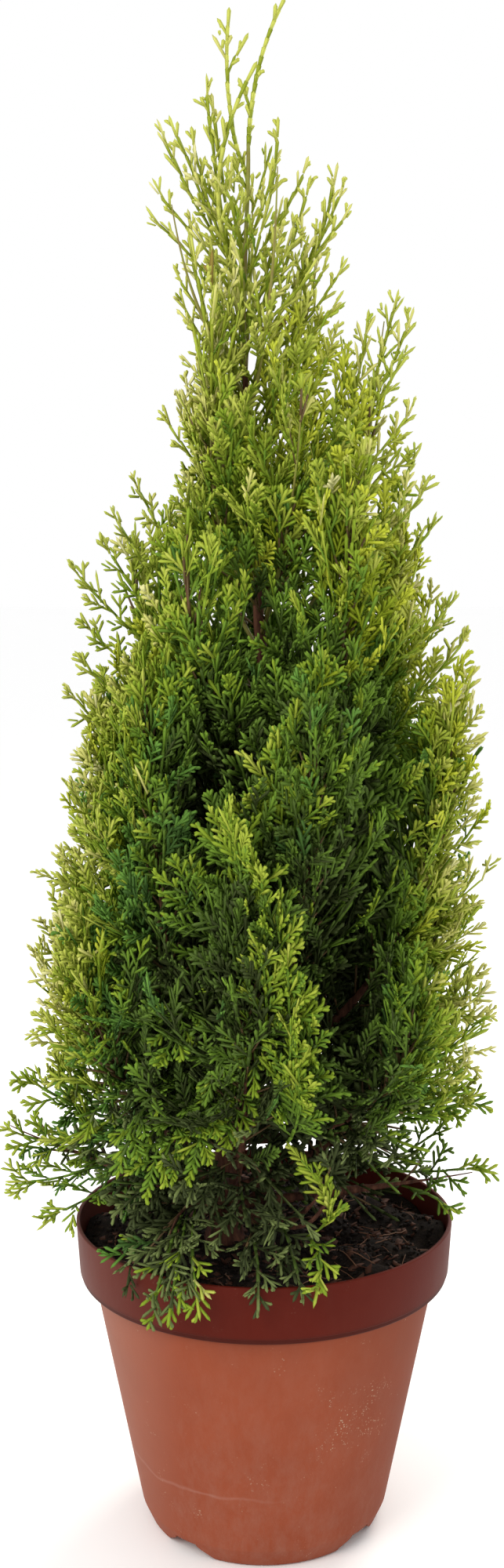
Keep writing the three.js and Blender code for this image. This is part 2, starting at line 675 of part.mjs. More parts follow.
/** Adds a piece to the plant, and keeps its room for it. */
function put(name, solid, material) {
  place(name, solid);
  plant.add(meshOf(name, solid, material));
}

put("pot", buildPot(), potPlastic);
put("soil", buildSoil(), pottingSoil);
put("trunk", trunkSolid(0), bark);

const plumes = [...planCrown(), ...planShoots()];
layOut(plumes);
for (const p of plumes) if (p.bare) put(`bough_${p.name}`, boughSolid(p).subtract(trunkRoom), bark);
for (const p of plumes) startPlume(plumes, p);
for (const p of plumes) growSprays(plumes, p);
for (const p of plumes) {
  const parts = placed.filter((piece) => piece.owner === p).map((piece) => piece.solid);
  plant.add(meshOf(p.name, wasm.Manifold.union(parts), p.material));
}

export default plant;
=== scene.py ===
"""A young potted thuja: a conical evergreen of flat sprays of scale leaves, in a round plastic nursery pot.

The crown grows by the same rule as its solids: a trunk, boughs, and plumes of foliage that each keep to
their own share of the crown. Here the rule is carried finer, to every branchlet. Lengths are in
millimetres until a mesh is made of them.
"""
import math

import bpy
import numpy as np
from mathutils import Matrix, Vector, noise


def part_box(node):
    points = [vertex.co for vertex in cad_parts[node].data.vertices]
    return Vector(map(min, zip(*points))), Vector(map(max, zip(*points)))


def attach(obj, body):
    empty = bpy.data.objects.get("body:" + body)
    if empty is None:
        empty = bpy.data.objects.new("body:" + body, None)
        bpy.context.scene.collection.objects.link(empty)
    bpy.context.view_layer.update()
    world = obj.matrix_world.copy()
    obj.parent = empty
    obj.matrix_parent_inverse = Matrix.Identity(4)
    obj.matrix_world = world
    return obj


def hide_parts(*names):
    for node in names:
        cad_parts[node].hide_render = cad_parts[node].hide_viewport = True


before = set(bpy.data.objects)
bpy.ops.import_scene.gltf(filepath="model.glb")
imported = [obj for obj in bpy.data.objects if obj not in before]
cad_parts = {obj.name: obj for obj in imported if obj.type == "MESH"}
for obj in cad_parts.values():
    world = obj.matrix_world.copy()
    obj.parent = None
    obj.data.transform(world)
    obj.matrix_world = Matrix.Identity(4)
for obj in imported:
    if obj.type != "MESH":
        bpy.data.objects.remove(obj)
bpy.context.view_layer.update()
bpy.ops.object.select_all(action="DESELECT")

MM = 0.001
POT_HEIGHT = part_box("pot")[1][2] / MM
RIM_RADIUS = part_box("pot")[1][0] / MM
SOIL_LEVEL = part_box("trunk")[0][2] / MM - 0.3
FORK_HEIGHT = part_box("trunk")[1][2] / MM
PLANT = [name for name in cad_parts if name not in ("pot", "soil")]
WOOD = [name for name in PLANT if name == "trunk" or name.startswith("bough")]
MASSES = [name for name in PLANT if name not in WOOD]


def table(columns, *rows):
    """Rows of values under the names of their columns, kept by the first value of each."""
    return {row[0]: dict(zip(columns.split(), row)) for row in rows}


# ---- The plan of the crown, as its solids have it ----
TRUNK_X = [(176, -24), (226, -23), (276, -8), (340, 5), (450, 3), (600, -5), (720, -12), (822, -9)]
TRUNK_Y = [(176, -6), (260, -2), (420, 3), (600, -3), (822, 0)]
TRUNK_RADIUS = 8
FORK_RADIUS = 1.9
ROOT_FLARE = 4.5
FLARE_FADE = 11
REACH_LEFT = [(150, 132), (190, 143), (238, 166), (262, 150), (350, 148), (420, 136), (500, 123), (560, 105),
              (597, 110), (650, 77), (700, 50), (740, 52), (770, 68), (800, 68), (838, 62), (860, 38),
              (900, 24)]
REACH_RIGHT = [(150, 122), (205, 138), (232, 129), (295, 144), (385, 130), (480, 142), (535, 125),
               (600, 109), (660, 96), (737, 86), (756, 50), (800, 50), (840, 30), (860, 12), (900, 13)]
TIERS = table("name count turn root rise tip swing phase inset lift bare spread",
              ("lower", 7, 8, 206, 8, 344, 26, 1, 32, 8, 0.34, 50),
              ("middle", 6, -14, 274, 9, 486, 26, 2, 32, 30, 0.2, 50),
              ("upper", 5, 22, 396, 9, 600, 20, 3, 26, 40, 0, 48),
              ("shoulder", 5, 0, 524, 9, 704, 26, 0, 16, 48, 0, 38),
              ("top", 4, 10, 656, 12, 802, 14, 4, 14, 56, 0, 34))
SKIRT = table("name bearing root crest out tip bare",
              ("low_left", 180, 192, 222, 158, 246, 0.42),
              ("low_front_left", 240, 186, 224, 110, 205, 0.4),
              ("low_front", 268, 198, 218, 102, 203, 0.4),
              ("low_front_right", 291, 196, 192, 97, 244, 0.6),
              ("low_right", 352, 196, 206, 130, 222, 0.45),
              ("low_back_right", 40, 190, 212, 124, 226, 0.42),
              ("low_back_left", 128, 194, 212, 130, 214, 0.42))
# Close foliage fills this share of that reach, at the left and at the right; single sprays stand out past it.
CLOSE_LEFT = [(150, 0.9), (240, 0.9), (290, 0.93), (330, 1.0), (390, 1.06), (440, 1.0), (490, 1.0),
              (530, 0.88), (580, 0.82), (630, 0.76), (670, 0.95)]
CLOSE_RIGHT = [(200, 0.96), (257, 1.0), (290, 1.04), (350, 1.01), (431, 1.05), (560, 1.08), (600, 0.95),
               (650, 0.93), (680, 0.88), (706, 0.74), (735, 0.5), (765, 0.9)]
GOLDEN = 0.6180339887
UP = np.array([0.0, 0.0, 1.0])


def eased(pairs, height):
    """Values read off a few (height, value) pairs, eased between them."""
    heights, values = (np.array(column, float) for column in zip(*pairs))
    height = np.clip(np.asarray(height, float), heights[0], heights[-1])
    i = np.clip(np.searchsorted(heights, height, side="left"), 1, len(heights) - 1)
    t = (height - heights[i - 1]) / (heights[i] - heights[i - 1])
    return values[i - 1] + (values[i] - values[i - 1]) * t * t * (3 - 2 * t)


def lerp(a, b, t):
    return a + (b - a) * t


def smooth(value, low, high):
    t = np.clip((value - low) / (high - low), 0, 1)
    return t * t * (3 - 2 * t)


def unit(v):
    return v / np.maximum(np.linalg.norm(v, axis=-1, keepdims=True), 1e-9)


def swung(first, second, angle):
    """Directions turned from the first towards the second, square to it, by an angle in radians."""
    return first * np.cos(angle) + second * np.sin(angle)


def from_axis(places):
    return np.hypot(places[..., 0], places[..., 1])


def bearing_of(places):
    return np.arctan2(places[..., 1], places[..., 0])


def by_side(left, right, height, bearing):
    """A value at a height and towards a bearing, in radians from +X, from its lists for the two sides."""
    return lerp(eased(left, height), eased(right, height), (1 + np.cos(bearing)) / 2)


def reach_at(height, bearing):
    """How far foliage may reach from the pot's axis."""
    return by_side(REACH_LEFT, REACH_RIGHT, height, bearing)


def reach_of(places):
    return reach_at(places[..., 2], bearing_of(places))


def close_reach(places):
    """How far the close foliage reaches, at places."""
    return reach_of(places) * by_side(CLOSE_LEFT, CLOSE_RIGHT, places[..., 2], bearing_of(places))


def trunk_centre(height):
    return np.stack([eased(TRUNK_X, height), eased(TRUNK_Y, height), np.asarray(height, float)], axis=-1)


def trunk_radius(height):
    up = np.clip((height - SOIL_LEVEL) / (FORK_HEIGHT - SOIL_LEVEL), 0, 1)
    flare = ROOT_FLARE * np.exp((SOIL_LEVEL - height) / FLARE_FADE)
    return lerp(TRUNK_RADIUS, FORK_RADIUS, up ** 0.8) + flare


def soil_height(x, y):
    """The soil's top: low lumps, flat around the trunk's foot."""
    foot = trunk_centre(SOIL_LEVEL)
    lumps = np.sin(x * 0.061 + 1.3) * np.cos(y * 0.073 - 0.4) + 0.6 * np.sin(x * 0.13 + y * 0.11)
    return SOIL_LEVEL + smooth(np.hypot(x - foot[0], y - foot[1]), 14, 46) * 3.5 * lumps


def bezier(points, t):
    """Places on a cubic curve with four control points."""
    t = np.asarray(t, float)[..., None]
    a, b, c, d = points
    return a * (1 - t) ** 3 + 3 * b * t * (1 - t) ** 2 + 3 * c * t * t * (1 - t) + d * t ** 3


def bezier_along(points, t):
    t = np.asarray(t, float)[..., None]
    a, b, c, d = points
    return unit((b - a) * (1 - t) ** 2 + 2 * (c - b) * t * (1 - t) + (d - c) * t * t)


def arc(points, t):
    """Places on a curve with three control points."""
    a, b, c = points
    return a * (1 - t) ** 2 + 2 * b * t * (1 - t) + c * t * t


def away_from_axis(degrees):
    return np.array([math.cos(math.radians(degrees)), math.sin(math.radians(degrees)), 0.0])


def tier_plume(tier, i):
    """One upright plume of a tier: its limb leaves the trunk, bends up and ends near the crown's outline."""
    bearing = tier["turn"] + 360 / tier["count"] * i
    tip = tier["tip"] + tier["swing"] * math.cos(i * 2.4 + tier["phase"])
    out = float(reach_at(tip, math.radians(bearing))) - tier["inset"]
    root = tier["root"] + tier["rise"] * ((i * 3) % tier["count"])
    away = away_from_axis(bearing)
    start = trunk_centre(root)
    end = away * out + UP * tip
    span = np.linalg.norm(end - start)
    lift = math.radians(tier["lift"])
    flat = unit((end - start) * [1, 1, 0])
    leaving = flat * math.cos(lift) + UP * math.sin(lift)
    arriving = unit(away * 0.16 + UP)
    points = [start + leaving * trunk_radius(root) * 0.6, start + leaving * span * 0.45,
              end - arriving * span * 0.3, end]
    return dict(name=f"{tier['name']}_{i + 1}", bearing=bearing, points=points, bare=tier["bare"],
                spread=tier["spread"], thick=2 + 1.4 * span / 260, kind=tier["name"])


def skirt_plume(row):
    """One low plume that lies out over the soil and the rim."""
    away = away_from_axis(row["bearing"])
    start = trunk_centre(row["root"])
    end = away * row["out"] + UP * row["tip"]
    flat = (end - start) * [1, 1, 0]
    first, second = start + flat * 0.3, start + flat * 0.78
    first[2] = lerp(row["root"], row["crest"], 0.7)
    second[2] = row["crest"] + 8
    return dict(name=row["name"], bearing=row["bearing"], points=[start, first, second, end],
                bare=row["bare"], spread=38, thick=2.8, kind="skirt")


def shoot(name, bearing, points):
    """One long bare shoot at the top."""
    return dict(name=name, bearing=bearing, points=[np.array(p, float) for p in points], bare=0, spread=17,
                thick=1.5, kind="shoot")


def plan_crown():
    plumes = [skirt_plume(row) for row in SKIRT.values()]
    plumes += [tier_plume(tier, i) for tier in TIERS.values() for i in range(tier["count"])]
    return plumes + [
        shoot("leader_right", 0, [trunk_centre(822.3), (-7.5, -1, 848), (-4, -2, 872), (11, -3, 900)]),
        shoot("leader_left", 180, [trunk_centre(806), (-17, 2, 818), (-24, 3, 850), (-20, 2, 896)]),
        shoot("crossing_shoot", 230, [trunk_centre(744), (-30, -9, 768), (-34, -16, 812), (-5, -14, 862)]),
    ]


PLUMES = plan_crown()
SAMPLES = 14
AXES = np.array([bezier(p["points"], p["bare"] + 0.03 + (0.97 - p["bare"]) * np.linspace(0, 1, SAMPLES))
                 for p in PLUMES])
SPREADS = np.array([p["spread"] for p in PLUMES], float)


def own_margin(own, places):
    """How far places lie inside a plume's own share of the crown; negative in a neighbour's share."""
    gaps = np.linalg.norm(places[:, None, None, :] - AXES[None], axis=-1).min(axis=2)
    scaled = gaps * (SPREADS[own] / SPREADS)
    mine = scaled[:, own].copy()
    scaled[:, own] = np.inf
    return scaled.min(axis=1) - mine


# ---- Sprigs: the smallest flat sprays, of scale-leaf branchlets ----
BRANCHLET_WIDTH = 2.4
BRANCHLET_THICK = 1.3
SPRIG_LENGTHS = [8, 12, 16, 21, 27, 34, 42]
VARIANTS = 5
SPRIG_SEED, CROWN_SEED, RIDGE_SEED, SOIL_SEED = 11, 7, 5, 19
# Each kind: how far apart its branchlets stand, how long and wide they are, how wide their fork is in
# degrees, and how many of them fork once more.
SPRIG_KINDS = dict(full=dict(spacing=2.3, finger=7.6, width=2.15, fork=37, forked=0.32),
                   lax=dict(spacing=3.0, finger=8.6, width=2.0, fork=40, forked=0.26),
                   bare=dict(spacing=4.8, finger=5.6, width=2.1, fork=34, forked=0.12),
                   rod=dict(spacing=7.5, finger=5.0, width=2.4, fork=30, forked=0.0),
                   coarse=dict(spacing=4.4, finger=10.0, width=3.1, fork=36, forked=0.0))
AXIS_STEP = 12
AXIS_BEND = 14
BARE_TIP = 2.5
FORKS_FROM = 5


def sprig(length, rng, spacing, finger, width, fork, forked):
    """One flat sprig along +X: rows of start, aim, length, width and age, 0 at its foot and 1 at its tips."""
    rows = []

    def add(start, angle, long, wide, age):
        aim = np.array([math.cos(angle), math.sin(angle), rng.normal(0, 0.07)])
        rows.append((*start, *unit(aim), long, wide, age))
        return start + aim * long

    steps = max(1, round(length / AXIS_STEP))
    place, line = np.zeros(3), [np.zeros(3)]
    bend = rng.normal(0, math.radians(AXIS_BEND))
    for k in range(steps):
        last = k == steps - 1
        wide, age = (width, 0.95) if last else (width * 0.8, (k + 0.3) / steps * 0.8)
        place = add(place, bend * (k + 0.5 - steps / 2) / steps, length / steps * 1.03, wide, age)
        line.append(place)
    line = np.array(line)
    sign = rng.choice([-1, 1])
    x = spacing * rng.uniform(0.6, 1.5)
    while x < length - BARE_TIP:
        share = x / length
        root = np.array([x, np.interp(x, line[:, 0], line[:, 1]), 0.0])
        long = finger * (0.7 + 0.45 * math.sin(math.pi * min(share * 1.3, 1)))
        long = min(long, 0.7 * (length - x) + 3.2) * rng.uniform(0.72, 1.18)
        angle = sign * math.radians(rng.normal(fork - 8 * share, 4))
        age = 0.45 + 0.5 * share * rng.uniform(0.8, 1.1)
        tip = add(root, angle, long, width * rng.uniform(0.9, 1.05), min(age, 1))
        if long > FORKS_FROM and rng.random() < forked:
            side = angle + sign * rng.choice([-1, 1]) * math.radians(rng.normal(fork - 2, 5))
            middle = root + (tip - root) * rng.uniform(0.35, 0.55)
            add(middle, side, long * rng.uniform(0.45, 0.62), width * 0.95, min(age + 0.15, 1))
        x += spacing * rng.uniform(0.8, 1.2)
        sign = -sign
    return np.array(rows)


def sprig_kinds():
    """The sprigs that the crown is made of, a few of each kind and length."""
    rng = np.random.default_rng(SPRIG_SEED)
    return {kind: [[sprig(length, rng, **shape) for _ in range(VARIANTS)] for length in SPRIG_LENGTHS]
            for kind, shape in SPRIG_KINDS.items()}


SPRIGS = sprig_kinds()

# ---- Fronds: sprigs set alternately on a twig ----
# How many fronds a plume grows, where on its stem they begin, how far they open at its foot and its top, how
# long they may be, how they lean and rise, and how much of the crown's reach they use, by its kind.
GROWTH = table("kind fronds foot open_foot open_top longest lean rise slack",
               ("skirt", 13, 0.0, 58, 14, (50, 76), (-0.14, 0.02), 0.02, (0.82, 1.02)),
               ("lower", 49, -0.16, 66, 16, (50, 88), (-0.2, 0.24), 0.14, (0.92, 1.04)),
               ("middle", 52, -0.05, 58, 16, (48, 86), (0.3, 0.38), 0.22, (0.82, 1.02)),
               ("upper", 54, 0.04, 54, 16, (46, 82), (0.42, 0.44), 0.24, (0.7, 1.02)),
               ("shoulder", 30, 0.06, 48, 14, (42, 70), (0.36, 0.34), 0.24, (0.56, 1.0)),
               ("top", 15, 0.0, 42, 12, (36, 58), (0.28, 0.24), 0.16, (0.4, 0.86)))
# The low plumes in front grow fewer and shorter fronds, so that the soil shows.
SCANTY = table("name fronds longest",
               ("low_front_left", 8, (38, 54)),
               ("low_front", 4, (30, 42)),
               ("low_front_right", 2, (20, 28)),
               ("low_right", 4, (34, 50)))
FAN = 330
STEP = 3.0
SHORTEST = 16
SHARED = 26  # how far the fronds of two plumes may reach in among each other
INNER_COUNT = 120
INNER_HEIGHTS = (206, 770)
INNER_SPARSE = (470, 660)  # every other one is missing here
INNER_STEEP = 640
INNER_REACH = 0.78
# The share of sprigs that are missing in the crown's outermost shell, high up and low down.
SHELL_GAPS = 0.56
LOW_SHELL_GAPS = 0.36

# Hollows that stay open: their middles and half sizes.
HOLLOWS = [((46, -70, 336), (15, 90, 14)), ((50, -112, 392), (20, 32, 46)), ((88, -62, 253), (30, 60, 14)),
           ((98, 0, 239), (27, 36, 15)), ((88, 56, 221), (30, 66, 13)), ((70, -68, 220), (36, 46, 22)),
           ((58, -32, 204), (26, 36, 18))]
# Regions where the sky shows through between the sprays, and the share of sprigs that grow there.
THIN = [((-112, 0, 280), (26, 130, 34)), ((42, 0, 572), (34, 120, 38)), ((22, 0, 488), (28, 130, 26)),
        ((-20, 0, 560), (22, 120, 20)), ((96, 0, 330), (22, 120, 24)), ((20, 0, 650), (20, 90, 26))]
THIN_SHARE = 0.58


def within(places, regions):
    """Which places lie in any of some round regions, given by their middles and half sizes."""
    inside = np.zeros(len(places), bool)
    for middle, half in regions:
        inside |= (((places - middle) / half) ** 2).sum(axis=1) < 1
    return inside


def clear_of_wood(places):
    """Places that lie outside the trunk, above the soil, and not in the pot's wall."""
    radius = from_axis(places)
    height = places[:, 2]
    core = trunk_centre(np.minimum(height, FORK_HEIGHT))
    off_trunk = from_axis(places - core) > trunk_radius(height) + 1
    over_rim = (height > POT_HEIGHT + 3) | (radius > RIM_RADIUS + 2)
    over_soil = (radius < RIM_RADIUS - 8) & (height > soil_height(places[:, 0], places[:, 1]) + 2)
    return (off_trunk | (height > FORK_HEIGHT)) & (over_rim | over_soil)


def grow_fronds(index, plume, rng):
    """The fronds of one plume: the three control points of each, and the direction that it is flat in."""
    rule = {**GROWTH[plume["kind"]], **SCANTY.get(plume["name"], {})}
    n = rule["fronds"]
    i = np.arange(n)
    share = i / (n - 1)
    s = lerp(lerp(plume["bare"], 1, rule["foot"]), 0.985, share ** 0.85)
    root, along = bezier(plume["points"], s), bezier_along(plume["points"], s)
    away = away_from_axis(plume["bearing"])
    outward = unit(away - along * (along @ away)[:, None])
    turn = np.radians((((i * GOLDEN + 0.31) % 1) - 0.5) * FAN)[:, None]
    aim = swung(outward, np.cross(along, outward), turn)
    opening = np.radians(lerp(rule["open_foot"], rule["open_top"], share) + rng.normal(0, 8, n))
    opening[-1] = 0
    direction = unit(swung(along, aim, opening[:, None]) + UP * lerp(*rule["lean"], share)[:, None])
    twist = rng.uniform(-1.3, 1.3, n)[:, None]
    side = unit(np.cross(direction, aim))
    across = swung(side, np.cross(direction, side), twist)
    wanted = lerp(rule["longest"][1], rule["longest"][0], share) * rng.uniform(0.75, 1.15, n)
    rise = rule["rise"] * rng.uniform(0.2, 1.6, n)

    # Each frond ends where it would leave the crown, or run into the wood or too far into a neighbour.
    steps = np.arange(1, int(wanted.max() / STEP) + 2) * STEP
    run = steps[None, :, None]
    lift = rise[:, None, None] * run ** 2 / wanted[:, None, None]
    flat = (root[:, None] + direction[:, None] * run + UP * lift).reshape(-1, 3)
    slack = np.repeat(rng.uniform(*rule["slack"], n), len(steps))
    fits = (from_axis(flat) < close_reach(flat) * slack) & clear_of_wood(flat)
    fits &= own_margin(index, flat) > -SHARED
    fits = fits.reshape(n, -1)
    room = np.where(fits.all(axis=1), steps[-1], np.argmin(fits, axis=1) * STEP)
    length = np.minimum(room, wanted)
    fronds = []
    for k in np.flatnonzero(length > SHORTEST):
        end = root[k] + direction[k] * length[k] + UP * rise[k] * length[k] ** 2 / wanted[k]
        points = (root[k], root[k] + direction[k] * length[k] / 2, end)
        fronds.append(dict(points=points, across=across[k], length=length[k]))
    return fronds


def inner_fronds(rng):
    """Shaded fronds that grow from the trunk itself and fill the crown's inside."""
    fronds = []
    for k in range(INNER_COUNT):
        height = lerp(*INNER_HEIGHTS, (k + 0.5) / INNER_COUNT)
        if INNER_SPARSE[0] < height < INNER_SPARSE[1] and k % 2:
            continue
        away = away_from_axis(360 * GOLDEN * k)
        lift = math.radians(rng.uniform(2, 50) if height < INNER_STEEP else rng.uniform(35, 70))
        most = INNER_REACH * float(reach_at(height + 25, math.radians(360 * GOLDEN * k)))
        long = min(rng.uniform(60, 110), most)
        direction = away * math.cos(lift) + UP * math.sin(lift)
        start = trunk_centre(height)
        side = unit(np.cross(direction, UP))
        across = swung(side, np.cross(direction, side), rng.uniform(-1.4, 1.4))
        points = (start, start + direction * long / 2, start + direction * long + UP * long * 0.15)
        fronds.append(dict(points=points, across=across, length=long))
    return fronds


# ---- Fronds that show on their own ----
LAX = dict(kind="lax", gap=8.2, sprig_share=0.34, last=4, contrast=3.4)
HANGING = dict(kind="lax", gap=9.0, sprig_share=0.3, least=6, last=6, tint="dusty", contrast=3.0)
FRINGE = dict(kind="full", gap=6.5, sprig_share=0.3, shade=1.6, tip_shade=3.6)
TURNED_UP = dict(kind="full", gap=4.5, sprig_share=0.08, least=8)
TURNED_DOWN = dict(kind="lax", gap=6.0, sprig_share=0.24, least=6)
EDGE_ON = dict(kind="full", gap=5.0, sprig_share=0.28, shade=2.6, tip_shade=4.7)
PLAIN = {}
OPEN = dict(kind="bare", gap=9.0, sprig_share=0.18, least=4, last=1, shade=4.9, tip_shade=6.0, tint="straw")
SINGLE = dict(kind="lax", gap=8.2, sprig_share=0.26, least=5, last=2, shade=4.2, tip_shade=6.0)
PLUME_TIP = dict(kind="bare", gap=7.0, sprig_share=0.28, least=5, last=2, shade=4.8, tip_shade=6.0)
YOUNG = dict(kind="lax", gap=6.5, sprig_share=0.34, least=6, shade=4.6, tip_shade=5.8, tint="gold")
